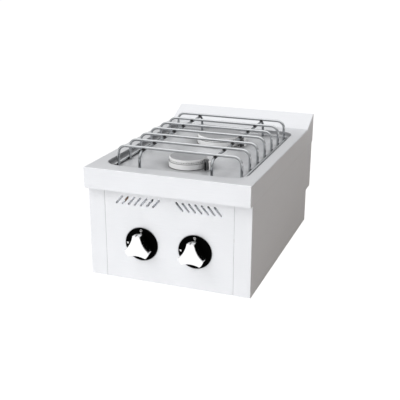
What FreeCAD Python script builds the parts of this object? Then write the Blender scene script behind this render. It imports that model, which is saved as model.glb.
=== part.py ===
# A countertop gas stove with two burners, one behind the other, under one welded wire grate.
# Folded steel panels make the box, a pressed steel top covers it, and two knobs at the front work
# the gas valves. Millimetres; x to the right, y to the back, z up; the feet stand on z = 0.
import FreeCAD, Part
import Sketcher
import math
import os
import re

Vector = FreeCAD.Vector
Rotation = FreeCAD.Rotation

# Driving sizes: name, millimetres (or a count), meaning.
SIZES = [
    ("width", 400, "worktop, left to right"),
    ("depth", 606, "worktop, apron to back"),
    ("body_height", 270, "body's bottom edge to the worktop"),
    ("foot_height", 10, "rubber foot"),
    ("worktop_steel", 1.2, "sheet of the worktop"),
    ("panel_steel", 1, "sheet of the panels"),
    ("apron_height", 49, "worktop's skirt, top to lower edge"),
    ("apron_overhang", 19, "apron in front of the control panel"),
    ("worktop_bend", 2, "outer radius of the worktop's folds"),
    ("upstand_height", 30, "worktop's tip above its flat"),
    ("rear_inset", 2.6, "worktop's back to the back panel"),
    ("ramp_run", 69, "sloping ramp, its fold to its tip"),
    ("ramp_bend", 4, "radius of the fold at the foot of the ramp"),
    ("step_depth", 48, "recess behind the lower back panel"),
    ("step_height", 90, "recess, body's bottom edge to its roof"),
    ("pan_half_width", 171.5, "middle to the side of the pan"),
    ("pan_front", 42.5, "apron to the pan's front wall"),
    ("pan_rear_rim", 40, "foot of the ramp to the pan's back wall"),
    ("pan_depth", 15, "worktop to the pan's floor"),
    ("pan_corner", 39, "plan radius of the pan's corners"),
    ("pan_fillet", 7, "radius between the pan's walls and floor"),
    ("pan_lip", 2.5, "radius of the worktop's edge around the pan"),
    ("panel_half_width", 157.5, "middle to the seam beside the control panel"),
    ("seam_gap", 0.6, "gap at each of those seams"),
    ("flange", 15, "folded edge of a panel"),
    ("panel_bend", 1.5, "outer radius of the fold beside the control panel"),
    ("vent_group", 74, "middle to the middle of a group of front vents"),
    ("vent_count", 7, "vents in a group"),
    ("vent_pitch", 15.2, "one front vent to the next"),
    ("vent_height", 196, "body's bottom edge to the middle of the front vents"),
    ("vent_rise", 17, "slant of a front vent, up"),
    ("vent_run", 14.5, "slant of a front vent, sideways"),
    ("vent_slot", 5, "width of a front vent"),
    ("rear_vent_count", 9, "vents in the back panel"),
    ("rear_vent_pitch", 34, "one back vent to the next"),
    ("rear_vent_length", 42, "back vent between its end centres"),
    ("rear_vent_slot", 6, "width of a back vent"),
    ("rear_vent_height", 160, "body's bottom edge to the middle of the back vents"),
    ("base_vent_count", 6, "vents in the bottom panel"),
    ("base_vent_pitch", 60, "one bottom vent to the next"),
    ("base_vent_length", 160, "bottom vent between its end centres"),
    ("base_vent_slot", 10, "width of a bottom vent"),
    ("foot_inset", 45, "side or edge of the body to a foot's centre"),
    ("foot_radius", 14, "foot at its top"),
    ("foot_taper", 2, "foot's top radius less its bottom radius"),
    ("foot_recess", 5, "depth of the screw's pocket in a foot"),
    ("screw_radius", 2, "shank of a panel screw"),
    ("screw_head", 4, "head radius of a panel screw"),
    ("screw_head_height", 2.4, "head of a panel screw"),
    ("screw_grip", 9, "shank of a panel screw, under its head"),
    ("rear_screw_inset", 12, "edge of the back panel to its screws"),
    ("knob_spacing", 132, "one knob's axis to the other's"),
    ("knob_height", 93, "body's bottom edge to the knobs' axes"),
    ("knob_reach", 12, "knob's face in front of the apron"),
    ("knob_radius", 31.5, "axis to the end of a lobe"),
    ("knob_waist", 18.5, "axis to the hollow between two lobes"),
    ("knob_hollow", 56, "radius of those hollows"),
    ("knob_lobes", 3, "lobes of a knob"),
    ("knob_lobe_round", 2.5, "radius at a lobe's corners"),
    ("knob_edge", 1.2, "radius around the knob's face"),
    ("knob_notch", 3, "width of the pointer notch"),
    ("knob_notch_depth", 3, "pointer notch, from the lobe's end"),
    ("knob_travel", 3.5, "push of a knob"),
    ("knob_clear", 1, "knob to bezel, pushed home"),
    ("bezel_radius", 40, "dial plate behind a knob"),
    ("bezel_thick", 3, "dial plate"),
    ("bezel_chamfer", 1, "edge of the dial plate"),
    ("spindle_radius", 4, "valve spindle"),
    ("spindle_flat", 2.8, "axis to the spindle's flat"),
    ("spindle_grip", 15, "spindle inside the knob"),
    ("spindle_hole", 5.5, "radius of the hole for it in panel and dial plate"),
    ("collar_radius", 6.5, "spindle's collar"),
    ("collar_thick", 4, "spindle's collar"),
    ("collar_place", 30, "panel's face to the collar"),
    ("plunger_thick", 3, "disc that the collar pushes"),
    ("plunger_stem", 3, "radius of the plunger's stem"),
    ("plunger_reach", 7, "plunger's stem behind its disc"),
    ("spring_radius", 5.2, "mean radius of the valve spring"),
    ("spring_wire", 0.6, "radius of its wire"),
    ("spring_pitch", 1.8, "one turn to the next"),
    ("valve_width", 28, "valve body, across and up"),
    ("valve_front", 14, "panel's face to the valve body"),
    ("valve_length", 50, "valve body, front to back"),
    ("valve_bore", 7.5, "radius of the valve's chamber"),
    ("valve_end", 12, "solid end behind the chamber"),
    ("pilot_port", 15, "valve's front to the port of the pilot's tube"),
    ("probe_port", 35, "valve's front to the port of the thermocouple's lead"),
    ("port_stagger", 5, "ports of the right valve further back, of the left one further forward"),
    ("port_reach", 9, "valve's axis to the furthest place for a port"),
    ("gland_radius", 12, "gland nut on the valve"),
    ("gland_thick", 6, "gland nut in front of the valve"),
    ("gland_spigot", 6, "gland nut inside the valve"),
    ("manifold_radius", 10, "gas manifold"),
    ("manifold_bore", 8, "radius of its bore"),
    ("manifold_place", 40, "panel's face to the manifold's axis"),
    ("manifold_drop", 30, "knob axis down to the manifold's axis"),
    ("manifold_overhang", 38, "valve's axis to the manifold's end"),
    ("socket_radius", 8, "stub on the manifold under a valve"),
    ("bracket_thick", 3, "stand under the manifold"),
    ("bracket_reach", 14, "stand, to each side of the manifold's axis"),
    ("bracket_place", 30, "middle to a stand under the manifold"),
    ("inlet_run", 10, "straight end of the inlet pipe at the manifold"),
    ("inlet_thread", 10.48, "outside radius of the half-inch pipe thread"),
    ("inlet_thread_length", 22, "threaded stub"),
    ("inlet_bore", 6.5, "radius of the inlet's bore"),
    ("inlet_flange", 14, "radius of the inlet's flange"),
    ("inlet_flange_thick", 6, "inlet's flange"),
    ("inlet_shank", 9, "radius of the inlet through the panel"),
    ("inlet_shank_length", 12, "inlet inside the panel's face"),
    ("inlet_nut_thick", 6, "lock nut inside the panel"),
    ("pipe_radius", 8, "inlet pipe"),
    ("pipe_bend", 16, "bend of the inlet pipe at its middle line"),
    ("supply_radius", 4, "supply tube to a burner"),
    ("supply_bore", 3, "radius of its bore"),
    ("supply_bend", 14, "bend of a supply tube at its middle line"),
    ("supply_reach", 30, "valve to the supply tube's first turn"),
    ("injector_place", 165, "middle to the injector's axis"),
    ("injector_radius", 8, "injector holder"),
    ("injector_below", 20, "injector holder under its jet"),
    ("injector_above", 8, "injector holder over its jet"),
    ("jet_radius", 5, "injector's jet"),
    ("jet_reach", 16, "injector's axis to the jet's tip"),
    ("jet_bore", 1, "radius of the jet's orifice"),
    ("air_gap", 8, "jet's tip to the mixing tube's mouth"),
    ("hanger_steel", 1.5, "sheet of the injector's bracket"),
    ("hanger_half_width", 14, "injector's bracket, to each side"),
    ("hanger_drop", 9, "jet's axis to the injector's bracket"),
    ("hanger_flange", 26, "height of the bracket's flange on the panel"),
    ("front_burner_radius", 46.5, "ring of the front burner"),
    ("rear_burner_radius", 60, "ring of the back burner"),
    ("front_burner_place", 148, "apron to the front burner's axis"),
    ("rear_burner_place", 117, "pan's back wall to the back burner's axis"),
    ("ring_height", 13, "burner's ring over the pan"),
    ("ring_seat", 6, "ring that lies on the pan, outside the hole"),
    ("ring_lip", 5, "wall at the top of the ring"),
    ("bowl_depth", 36, "burner's bowl under the pan's floor"),
    ("bowl_wall", 3, "wall of the bowl"),
    ("bowl_taper", 7, "neck's radius less the bowl's radius"),
    ("boss_radius", 14, "boss on the bowl for the mixing tube"),
    ("boss_reach", 8, "boss outside the bowl's neck"),
    ("mix_drop", 19, "pan's floor to the mixing tube's axis"),
    ("mix_radius", 11, "mixing tube"),
    ("mix_throat", 9, "mixing tube at its throat"),
    ("mix_mouth", 14, "mixing tube at its mouth"),
    ("mix_wall", 1.5, "wall of the mixing tube"),
    ("mix_straight", 20, "mixing tube's straight end at the burner"),
    ("mix_taper", 18, "mixing tube from its straight end to its throat"),
    ("mix_throat_length", 14, "mixing tube's throat"),
    ("mix_lip", 5, "mixing tube's straight lip at its mouth"),
    ("crown_inset", 1.5, "burner's ring radius less its crown's"),
    ("crown_height", 7.5, "crown with the flame ports"),
    ("crown_wall", 7.5, "wall of the crown"),
    ("crown_skirt", 3, "crown inside the ring"),
    ("crown_room", 1, "under the crown's skirt, inside the ring"),
    ("port_radius", 1.2, "flame port"),
    ("port_pitch", 5.9, "one flame port to the next, around the crown"),
    ("cap_inset", 2.5, "burner's ring radius less its cap's"),
    ("cap_height", 2.5, "burner cap's plate"),
    ("cap_chamfer", 0.8, "edge of the cap"),
    ("cap_spigot", 2, "cap inside the crown"),
    ("pilot_back", -16, "burner's axis to the pilot, towards the back"),
    ("pilot_radius", 3.5, "pilot burner"),
    ("pilot_height", 16, "pilot burner over the pan, under its hood"),
    ("pilot_below", 12, "pilot burner under the pan"),
    ("pilot_hood", 4.5, "radius of the pilot's hood"),
    ("pilot_hood_height", 4, "hood of the pilot"),
    ("pilot_tube", 2, "radius of the pilot's tube"),
    ("probe_gap", 6, "burner's ring to the thermocouple"),
    ("probe_back", -27, "burner's axis to the thermocouple, towards the back"),
    ("probe_radius", 2, "thermocouple"),
    ("probe_height", 19, "thermocouple over the pan"),
    ("probe_below", 14, "thermocouple under the pan"),
    ("probe_lead", 1.25, "radius of the thermocouple's lead"),
    ("lead_bend", 8, "bend of pilot tubes and leads at their middle line"),
    ("pilot_clear", 10.4, "burner's bowl down to the pilot tube's middle line"),
    ("probe_clear", 13.6, "burner's bowl down to the lead's middle line"),
    ("lead_stagger", 4, "front burner's leads higher, back burner's lower"),
    ("shield_gap", 4.5, "burner's ring to the middle of the pilot's shield"),
    ("shield_back", -17, "burner's axis to the shield, towards the back"),
    ("shield_width", 10, "pilot's shield, across"),
    ("shield_depth", 8, "pilot's shield, front to back"),
    ("shield_height", 24, "pilot's shield over the pan"),
    ("shield_steel", 1.5, "sheet of the shield"),
    ("rod_radius", 3.25, "wire of the grate"),
    ("rod_bend", 19, "bend of the wire at its middle line"),
    ("hoop_count", 7, "cross wires"),
    ("hoop_first", 85.5, "apron to the first cross wire"),
    ("hoop_last", 35.9, "pan's back wall to the last cross wire"),
    ("hoop_height", 35, "worktop to the middle of the cross wires"),
    ("hoop_half_width", 151.5, "middle to a cross wire's leg"),
    ("rail_place", 88, "middle to a rail under the cross wires"),
    ("rail_overhang", 20.5, "first or last cross wire to a rail's leg"),
    ("side_rod_overhang", 6, "side wire past the first or last cross wire"),
    ("grate_gap", 0.3, "grate over the pan's floor"),
    ("weld_gap", 0.05, "one wire of the grate to another"),
    ("fit_gap", 0.05, "clearance of a fitted piece, on the radius"),
    ("loose_gap", 0.3, "clearance of a lift-off piece, on the radius"),
    ("seat_gap", 0.1, "clearance of a piece that rests on another"),
]

doc = FreeCAD.newDocument("gas_stove")
sheet = doc.addObject("Spreadsheet::Sheet", "Sizes")
for row, (alias, number, meaning) in enumerate(SIZES, 1):
    sheet.set(f"A{row}", meaning)
    sheet.set(f"B{row}", str(number))
    sheet.setAlias(f"B{row}", alias)
doc.recompute()
ALIASES = {alias for alias, number, meaning in SIZES}

# Reference planes that many pieces share, as expressions of the sizes.
APRON = "((knob_reach - depth) / 2)"
BACK = "((knob_reach + depth) / 2)"
PANEL = f"({APRON} + apron_overhang)"
INSIDE_BACK = f"({BACK} - rear_inset)"
LOWER_BACK = f"({BACK} - step_depth)"
PAN_BACK = f"({BACK} - ramp_run - pan_rear_rim)"
BASE = "foot_height"
TOP = "(foot_height + body_height)"
UNDER_TOP = f"({TOP} - worktop_steel)"
FLOOR = f"({TOP} - pan_depth)"
STEP = "(foot_height + step_height)"
SIDE = "(width / 2 - worktop_steel)"
MANIFOLD_END = "(knob_spacing / 2 + manifold_overhang)"
INLET_X = f"({MANIFOLD_END} + pipe_bend + inlet_run)"
INSIDE = "(width / 2 - worktop_steel - panel_steel)"
AXIS = "(foot_height + knob_height)"
MANIFOLD_Y = f"({PANEL} + manifold_place)"
MANIFOLD_Z = f"({AXIS} - manifold_drop)"
VALVE_TOP = f"({AXIS} + valve_width / 2)"
VALVE_BACK = f"({PANEL} + valve_front + valve_length)"
MIX_Z = f"({FLOOR} - mix_drop)"
HOOP_Z = f"({TOP} + hoop_height)"
GRATE_FOOT = f"({FLOOR} + grate_gap)"
HOOP_FIRST = f"({APRON} + hoop_first)"
HOOP_LAST = f"({PAN_BACK} - hoop_last)"
HOOP_PITCH = f"(({HOOP_LAST} - {HOOP_FIRST}) / (hoop_count - 1))"
PILOT_GAP = "(shield_gap + shield_width / 2 + loose_gap + pilot_hood)"

UPRIGHT = Rotation()
ALONG_X = Rotation(Vector(0, 1, 0), 90)
ALONG_MINUS_X = Rotation(Vector(0, 1, 0), -90)
ALONG_Y = Rotation(Vector(1, 0, 0), -90)
TINY = 0.01
pieces = []


def bound(text):
    """The expression with every size named in full, as other objects refer to it."""
    return re.sub(r"[a-z_]+", lambda word: "Sizes." + word[0] if word[0] in ALIASES else word[0], str(text))


def value(text):
    """The number that an expression of the sizes gives."""
    return float(sheet.evalExpression(str(text)))


def bind(thing, setting, text):
    thing.setExpression(setting, bound(text))


def place(thing, x, y, z, turn=UPRIGHT):
    thing.Placement = FreeCAD.Placement(Vector(value(x), value(y), value(z)), turn)
    bind(thing, "Placement.Base.x", x)
    bind(thing, "Placement.Base.y", y)
    bind(thing, "Placement.Base.z", z)
    return thing


def piece(thing, name):
    """Marks an object as a piece of the stove, under its own name."""
    thing.Label = name
    pieces.append(thing)
    return thing


def block(name, x, y, z):
    """A box between two expressions along each axis."""
    box = doc.addObject("Part::Box", name)
    for setting, (low, high) in zip(("Length", "Width", "Height"), (x, y, z)):
        bind(box, setting, f"({high}) - ({low})")
    return place(box, x[0], y[0], z[0])


def bar(name, radius, length, x, y, z, turn=UPRIGHT):
    """A round bar from a point, along the direction that turn gives to z."""
    cylinder = doc.addObject("Part::Cylinder", name)
    bind(cylinder, "Radius", radius)
    bind(cylinder, "Height", length)
    return place(cylinder, x, y, z, turn)


def joined(name, *shapes):
    union = doc.addObject("Part::MultiFuse", name)
    union.Shapes = list(shapes)
    return union


def cut(name, base, *tools):
    """The base less the tools."""
    difference = doc.addObject("Part::Cut", name)
    difference.Base = base
    difference.Tool = tools[0] if len(tools) == 1 else joined(name + "_tools", *tools)
    return difference


def group(name, *shapes):
    """Like fasteners or stands that share one name and stay separate solids."""
    compound = doc.addObject("Part::Compound", name)
    compound.Links = list(shapes)
    return compound


def new_sketch(body, plane, lift):
    origin_plane = next(part for part in body.Origin.OriginFeatures if part.Role == plane)
    sketch = body.newObject("Sketcher::SketchObject", body.Name + "_sketch")
    sketch.AttachmentSupport = [(origin_plane, "")]
    sketch.MapMode = "FlatFace"
    bind(sketch, "AttachmentOffset.Base.z", lift)
    return sketch


def pin_point(sketch, edge, end, x, y):
    """Ties one point of a sketch to its two expressions."""
    for kind, text in (("DistanceX", x), ("DistanceY", y)):
        index = sketch.addConstraint(Sketcher.Constraint(kind, -1, 1, edge, end, value(text)))
        bind(sketch, f"Constraints[{index}]", text)


def draw(sketch, corners, closed=True):
    """Lines and arcs from corner to corner. A corner is (x, y), or (x, y, centre x, centre y, turn)
    where an arc leaves it, with a turn of 1 for an arc that runs anticlockwise and -1 for clockwise."""
    spots = [Vector(value(corner[0]), value(corner[1]), 0) for corner in corners]
    ends = []
    for index, corner in enumerate(corners if closed else corners[:-1]):
        start = spots[index]
        finish = spots[(index + 1) % len(spots)]
        if len(corner) == 2:
            edge = sketch.addGeometry(Part.LineSegment(start, finish))
            ends.append((edge, 1, 2))
            continue
        centre = Vector(value(corner[2]), value(corner[3]), 0)
        first, second = (start, finish) if corner[4] > 0 else (finish, start)
        angles = [math.atan2(spot.y - centre.y, spot.x - centre.x) for spot in (first, second)]
        circle = Part.Circle(centre, Vector(0, 0, 1), (start - centre).Length)
        edge = sketch.addGeometry(Part.ArcOfCircle(circle, angles[0], angles[1]))
        ends.append((edge, 1, 2) if corner[4] > 0 else (edge, 2, 1))
    for index, (edge, start_end, finish_end) in enumerate(ends):
        pin_point(sketch, edge, start_end, corners[index][0], corners[index][1])
        if index + 1 < len(ends) or closed:
            after, after_end = ends[(index + 1) % len(ends)][:2]
            sketch.addConstraint(Sketcher.Constraint("Coincident", edge, finish_end, after, after_end))
        else:
            pin_point(sketch, edge, finish_end, corners[-1][0], corners[-1][1])
        if len(corners[index]) > 2:
            chord = spots[(index + 1) % len(spots)] - spots[index]
            kind, text = ("DistanceX", corners[index][2])
            if abs(chord.x) > abs(chord.y):
                kind, text = ("DistanceY", corners[index][3])
            tie = sketch.addConstraint(Sketcher.Constraint(kind, -1, 1, edge, 3, value(text)))
            bind(sketch, f"Constraints[{tie}]", text)
    return len(ends)


def outline(body, plane, lift, corners):
    sketch = new_sketch(body, plane, lift)
    draw(sketch, corners)
    return sketch


def circles(body, plane, lift, discs):
    """A sketch of circles, each (x, y, radius)."""
    sketch = new_sketch(body, plane, lift)
    for x, y, radius in discs:
        round_edge = Part.Circle(Vector(value(x), value(y), 0), Vector(0, 0, 1), value(radius))
        edge = sketch.addGeometry(round_edge)
        pin_point(sketch, edge, 3, x, y)
        index = sketch.addConstraint(Sketcher.Constraint("Radius", edge, value(radius)))
        bind(sketch, f"Constraints[{index}]", radius)
    return sketch


def rectangle(x, y):
    return [(x[0], y[0]), (x[1], y[0]), (x[1], y[1]), (x[0], y[1])]


def rounded_rectangle(x, y, radius):
    left, right = f"({x[0]} + {radius})", f"({x[1]} - {radius})"
    near, far = f"({y[0]} + {radius})", f"({y[1]} - {radius})"
    return [(left, y[0]), (right, y[0], right, near, 1), (x[1], near), (x[1], far, right, far, 1),
            (right, y[1]), (left, y[1], left, far, 1), (x[0], far), (x[0], near, left, near, 1)]


def slot(x, y, run, rise, radius):
    """A round-ended slot about a middle point, whose ends lie half the run and rise to each side."""
    length = f"sqrt(({run}) ^ 2 + ({rise}) ^ 2)"
    aside, along = f"({radius} * ({rise}) / {length})", f"({radius} * ({run}) / {length})"
    low_x, high_x = f"({x} - ({run}) / 2)", f"({x} + ({run}) / 2)"
    low_y, high_y = f"({y} - ({rise}) / 2)", f"({y} + ({rise}) / 2)"
    return [(f"{low_x} + {aside}", f"{low_y} - {along}"),
            (f"{high_x} + {aside}", f"{high_y} - {along}", high_x, high_y, 1),
            (f"{high_x} - {aside}", f"{high_y} + {along}"),
            (f"{low_x} - {aside}", f"{low_y} + {along}", low_x, low_y, 1)]


def feature(kind, body, sketch, length, side="One side", backwards=False):
    """A pad or a pocket of a sketch."""
    made = body.newObject("PartDesign::" + kind, sketch.Name + "_" + kind.lower())
    made.Profile = sketch
    made.SideType = side
    made.Reversed = backwards
    bind(made, "Length", length)
    return made


def row_of(body, original, axis, pitch, count):
    """Repeats a pocket along its sketch's horizontal or vertical axis."""
    pattern = body.newObject("PartDesign::LinearPattern", original.Name + "_row")
    pattern.Originals = [original]
    pattern.Direction = (original.Profile[0], [axis])
    bind(pattern, "Length", f"{pitch} * ({count} - 1)")
    bind(pattern, "Occurrences", count)
    body.Tip = pattern
    return pattern


def round_edges(body, radius, wanted):
    """Rounds those edges of a body so far for which wanted(edge) is true."""
    doc.recompute()
    base = body.Tip
    names = [f"Edge{index}" for index, edge in enumerate(base.Shape.Edges, 1) if wanted(edge)]
    rounding = body.newObject("PartDesign::Fillet", body.Name + "_round")
    rounding.Base = (base, names)
    bind(rounding, "Radius", radius)
    return rounding


def lies_at(edge, z):
    """Whether an edge is level, at that height."""
    return abs(edge.BoundBox.ZMax - value(z)) < TINY and edge.BoundBox.ZLength < TINY


def turned(name, corners):
    """A body turned about its own z axis from a profile of (radius, height) corners."""
    body = doc.addObject("PartDesign::Body", name)
    sketch = outline(body, "XZ_Plane", 0, corners)
    spin = body.newObject("PartDesign::Revolution", name + "_spin")
    spin.Profile = sketch
    spin.ReferenceAxis = (sketch, ["V_Axis"])
    spin.Angle = 360
    return body


def wire_rod(name, plane, lift, corners, start):
    """A bent wire: a round section at (x, y) on the foot's level, swept along a flat path."""
    body = doc.addObject("PartDesign::Body", name)
    path = new_sketch(body, plane, lift)
    count = draw(path, corners, closed=False)
    section = circles(body, "XY_Plane", GRATE_FOOT, [(start[0], start[1], "rod_radius")])
    sweep = body.newObject("PartDesign::AdditivePipe", name + "_sweep")
    sweep.Profile = section
    sweep.Spine = (path, [f"Edge{index}" for index in range(1, count + 1)])
    return body


def arch(low, high, foot, crest, bend):
    """The path of a wire that rises, turns over and comes down again."""
    shoulder = f"{crest} - {bend}"
    return [(low, foot), (low, shoulder, f"{low} + {bend}", shoulder, -1),
            (f"{low} + {bend}", crest), (f"{high} - {bend}", crest, f"{high} - {bend}", shoulder, -1),
            (high, shoulder), (high, foot)]


LARGEST_TRIM = 0.48


def bent_tube(name, points, bend, radius, bore):
    """A tube through points in space, with a round bend at each. A bore of None leaves it solid.
    A bend takes up at most the share LARGEST_TRIM of the shorter run beside it."""
    spots = []
    for point in points:
        spot = Vector(*(value(text) for text in point))
        if not spots or (spot - spots[-1]).Length > value("fit_gap"):
            spots.append(spot)
    edges = []
    last = spots[0]
    for before, corner, after in zip(spots, spots[1:], spots[2:]):
        back, ahead = before - corner, after - corner
        shorter = min(back.Length, ahead.Length)
        half_turn = (math.pi - back.getAngle(ahead)) / 2
        trim = min(value(bend) * math.tan(half_turn), shorter * LARGEST_TRIM)
        bend_radius = trim / math.tan(half_turn)
        entry = corner + back.normalize() * trim
        leave = corner + ahead.normalize() * trim
        inward = (back + ahead).normalize()
        middle = corner + inward * (math.hypot(trim, bend_radius) - bend_radius)
        if (entry - last).Length > TINY:
            edges.append(Part.LineSegment(last, entry).toShape())
        edges.append(Part.Arc(entry, middle, leave).toShape())
        last = leave
    edges.append(Part.LineSegment(last, spots[-1]).toShape())
    path = Part.Wire(edges)
    heading = (spots[1] - spots[0]).normalize()

    def swept(size):
        section = Part.Wire([Part.Circle(spots[0], heading, value(size)).toShape()])
        return path.makePipeShell([section], True, False)

    tube = doc.addObject("Part::Feature", name)
    tube.Shape = swept(radius) if bore is None else swept(radius).cut(swept(bore))
    return tube


# Worktop: one pressed sheet with a skirt all round, a ramp at the back and a shallow pan.
RAMP_LENGTH = "sqrt(ramp_run ^ 2 + upstand_height ^ 2)"
RAMP = f"({BACK} - ramp_run - ramp_bend * ({RAMP_LENGTH} - ramp_run) / upstand_height)"
RAMP_CENTRE = f"({TOP} + ramp_bend)"
RAMP_SHEET = f"(worktop_steel * ({RAMP_LENGTH} + upstand_height) / ramp_run)"
TIP_INSIDE = f"{TOP} + upstand_height - {RAMP_SHEET}"
SKIRT = f"({TOP} - apron_height)"
BURNERS = {"front": ("front_burner_radius", f"({APRON} + front_burner_place)", -1),
           "rear": ("rear_burner_radius", f"({PAN_BACK} - rear_burner_place)", 1)}


def ramp_foot(radius):
    """Where the slope ends and the fold begins, on the fold's inside or its outside."""
    return (f"{RAMP} + ({radius}) * upstand_height / {RAMP_LENGTH}",
            f"{RAMP_CENTRE} - ({radius}) * ramp_run / {RAMP_LENGTH}", RAMP, RAMP_CENTRE, -1)


worktop = doc.addObject("PartDesign::Body", "worktop_body")
skin = outline(worktop, "YZ_Plane", 0, [
    (APRON, SKIRT), (BACK, SKIRT), (BACK, f"{TOP} + upstand_height"), ramp_foot("ramp_bend"),
    (RAMP, TOP), (APRON, TOP)])
feature("Pad", worktop, skin, "width", "Symmetric")


def worktop_fold(edge):
    """The folds of the sheet: along the top of the apron, along its sides, and down its front corners."""
    box = edge.BoundBox
    on_side = abs(abs(box.Center.x) - value("width") / 2) < TINY
    on_apron = box.YMax < value(APRON) + TINY
    from_apron = box.YMin < value(APRON) + TINY
    flat_top = box.ZMin > value(TOP) - TINY
    front_corner = on_side and on_apron
    return front_corner or (on_apron and flat_top) or (on_side and flat_top and from_apron)


round_edges(worktop, "worktop_bend", worktop_fold)
hollow = outline(worktop, "YZ_Plane", 0, [
    (f"{APRON} + worktop_steel", f"{SKIRT} - worktop_steel"),
    (f"{BACK} - worktop_steel", f"{SKIRT} - worktop_steel"),
    (f"{BACK} - worktop_steel", TIP_INSIDE), ramp_foot("ramp_bend + worktop_steel"), (RAMP, UNDER_TOP),
    (f"{APRON} + worktop_steel", UNDER_TOP)])
feature("Pocket", worktop, hollow, "width - 2 * worktop_steel", "Symmetric")
pan_x = ("-pan_half_width", "pan_half_width")
pan_y = (f"({APRON} + pan_front)", PAN_BACK)
pan_outside = outline(worktop, "XY_Plane", f"{FLOOR} - worktop_steel", rounded_rectangle(
    ("(-pan_half_width - worktop_steel)", "(pan_half_width + worktop_steel)"),
    (f"({pan_y[0]} - worktop_steel)", f"({pan_y[1]} + worktop_steel)"), "(pan_corner + worktop_steel)"))
feature("Pad", worktop, pan_outside, "pan_depth")
pan_inside = outline(worktop, "XY_Plane", TOP, rounded_rectangle(pan_x, pan_y, "pan_corner"))
feature("Pocket", worktop, pan_inside, "pan_depth")
round_edges(worktop, "pan_fillet", lambda edge: lies_at(edge, FLOOR))
round_edges(worktop, "pan_fillet + worktop_steel", lambda edge: lies_at(edge, f"{FLOOR} - worktop_steel"))


def pan_edge(edge):
    """The edge of the flat worktop around the pan."""
    box = edge.BoundBox
    between_sides = abs(box.Center.x) < value(pan_x[1]) + TINY
    between_ends = box.YMin > value(pan_y[0]) - TINY and box.YMax < value(pan_y[1]) + TINY
    return lies_at(edge, TOP) and between_sides and between_ends


round_edges(worktop, "pan_lip", pan_edge)
holes = []
for ring, burner_y, side in BURNERS.values():
    holes.append((0, burner_y, f"{ring} - ring_seat + loose_gap"))
    holes.append((f"{ring} + {PILOT_GAP}", f"{burner_y} + pilot_back", "pilot_radius + fit_gap"))
    holes.append((f"{ring} + probe_gap", f"{burner_y} + probe_back", "probe_radius + fit_gap"))
feature("Pocket", worktop, circles(worktop, "XY_Plane", FLOOR, holes), "2 * worktop_steel")
piece(worktop, "worktop")

# Side panels: a plate stepped at the lower back, with a flange folded in beside the control panel.
for side, name in ((-1, "left"), (1, "right")):
    panel = doc.addObject("PartDesign::Body", f"side_{name}")
    plate = outline(panel, "YZ_Plane", f"{side} * {SIDE}", [
        (PANEL, BASE), (LOWER_BACK, BASE), (LOWER_BACK, STEP), (INSIDE_BACK, STEP), (INSIDE_BACK, UNDER_TOP),
        (PANEL, UNDER_TOP)])
    feature("Pad", panel, plate, "panel_steel", backwards=side > 0)
    fold = outline(panel, "XY_Plane", BASE, rectangle(
        (f"{side} * (panel_half_width + seam_gap / 2)", f"{side} * {SIDE}"),
        (PANEL, f"{PANEL} + panel_steel")))
    feature("Pad", panel, fold, f"{UNDER_TOP} - {BASE}")
    round_edges(panel, "panel_bend", lambda edge: edge.BoundBox.YMax < value(PANEL) + TINY
                and edge.BoundBox.XLength < TINY and abs(edge.BoundBox.Center.x) > value(SIDE) - TINY)
    piece(panel, f"side_panel_{name}")

# Control panel: a plate folded back at the top, with slanted vents and the holes for the spindles.
control = doc.addObject("PartDesign::Body", "control")
folded = outline(control, "YZ_Plane", 0, [
    (PANEL, BASE), (f"{PANEL} + panel_steel", BASE),
    (f"{PANEL} + panel_steel", f"{UNDER_TOP} - panel_steel"),
    (f"{PANEL} + flange", f"{UNDER_TOP} - panel_steel"), (f"{PANEL} + flange", UNDER_TOP),
    (PANEL, UNDER_TOP)])
feature("Pad", control, folded, "2 * panel_half_width - seam_gap", "Symmetric")
for side in (-1, 1):
    first_vent = f"({side} * vent_group - vent_pitch * (vent_count - 1) / 2)"
    vent = outline(control, "XZ_Plane", f"-{PANEL}", slot(
        first_vent, "(foot_height + vent_height)", f"{-side} * vent_run", "vent_rise", "vent_slot / 2"))
    vent_cut = feature("Pocket", control, vent, "2 * panel_steel")
    row_of(control, vent_cut, "H_Axis", "vent_pitch", "vent_count")
spindle_holes = circles(control, "XZ_Plane", f"-{PANEL}", [
    (f"{side} * knob_spacing / 2", AXIS, "spindle_hole") for side in (-1, 1)])
feature("Pocket", control, spindle_holes, "2 * panel_steel")
piece(control, "control_panel")

# Bottom panel: a tray between the side panels, with cross slots that let in air for the flames.
bottom = doc.addObject("PartDesign::Body", "bottom")
tray = outline(bottom, "XZ_Plane", f"-({PANEL} + panel_steel)", [
    (f"-{INSIDE}", BASE), (INSIDE, BASE),
    (INSIDE, f"{BASE} + flange"), (f"{INSIDE} - panel_steel", f"{BASE} + flange"),
    (f"{INSIDE} - panel_steel", f"{BASE} + panel_steel"),
    (f"-{INSIDE} + panel_steel", f"{BASE} + panel_steel"),
    (f"-{INSIDE} + panel_steel", f"{BASE} + flange"), (f"-{INSIDE}", f"{BASE} + flange")])
feature("Pad", bottom, tray, f"{LOWER_BACK} - {PANEL} - 2 * panel_steel", backwards=True)
FOOT_X = f"({SIDE} - foot_inset)"
FOOT_Y = (f"({PANEL} + foot_inset)", f"({LOWER_BACK} - foot_inset)")
first_base_vent = f"(({PANEL} + {LOWER_BACK} - base_vent_pitch * (base_vent_count - 1)) / 2)"
base_vent = outline(bottom, "XY_Plane", f"{BASE} + panel_steel", slot(
    0, first_base_vent, "base_vent_length", "0", "base_vent_slot / 2"))
base_vent_cut = feature("Pocket", bottom, base_vent, "2 * panel_steel")
row_of(bottom, base_vent_cut, "V_Axis", "base_vent_pitch", "base_vent_count")
screw_holes = circles(bottom, "XY_Plane", f"{BASE} + panel_steel", [
    (f"{side} * {FOOT_X}", y, "screw_radius + fit_gap") for side in (-1, 1) for y in FOOT_Y])
feature("Pocket", bottom, screw_holes, "2 * panel_steel")
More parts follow.
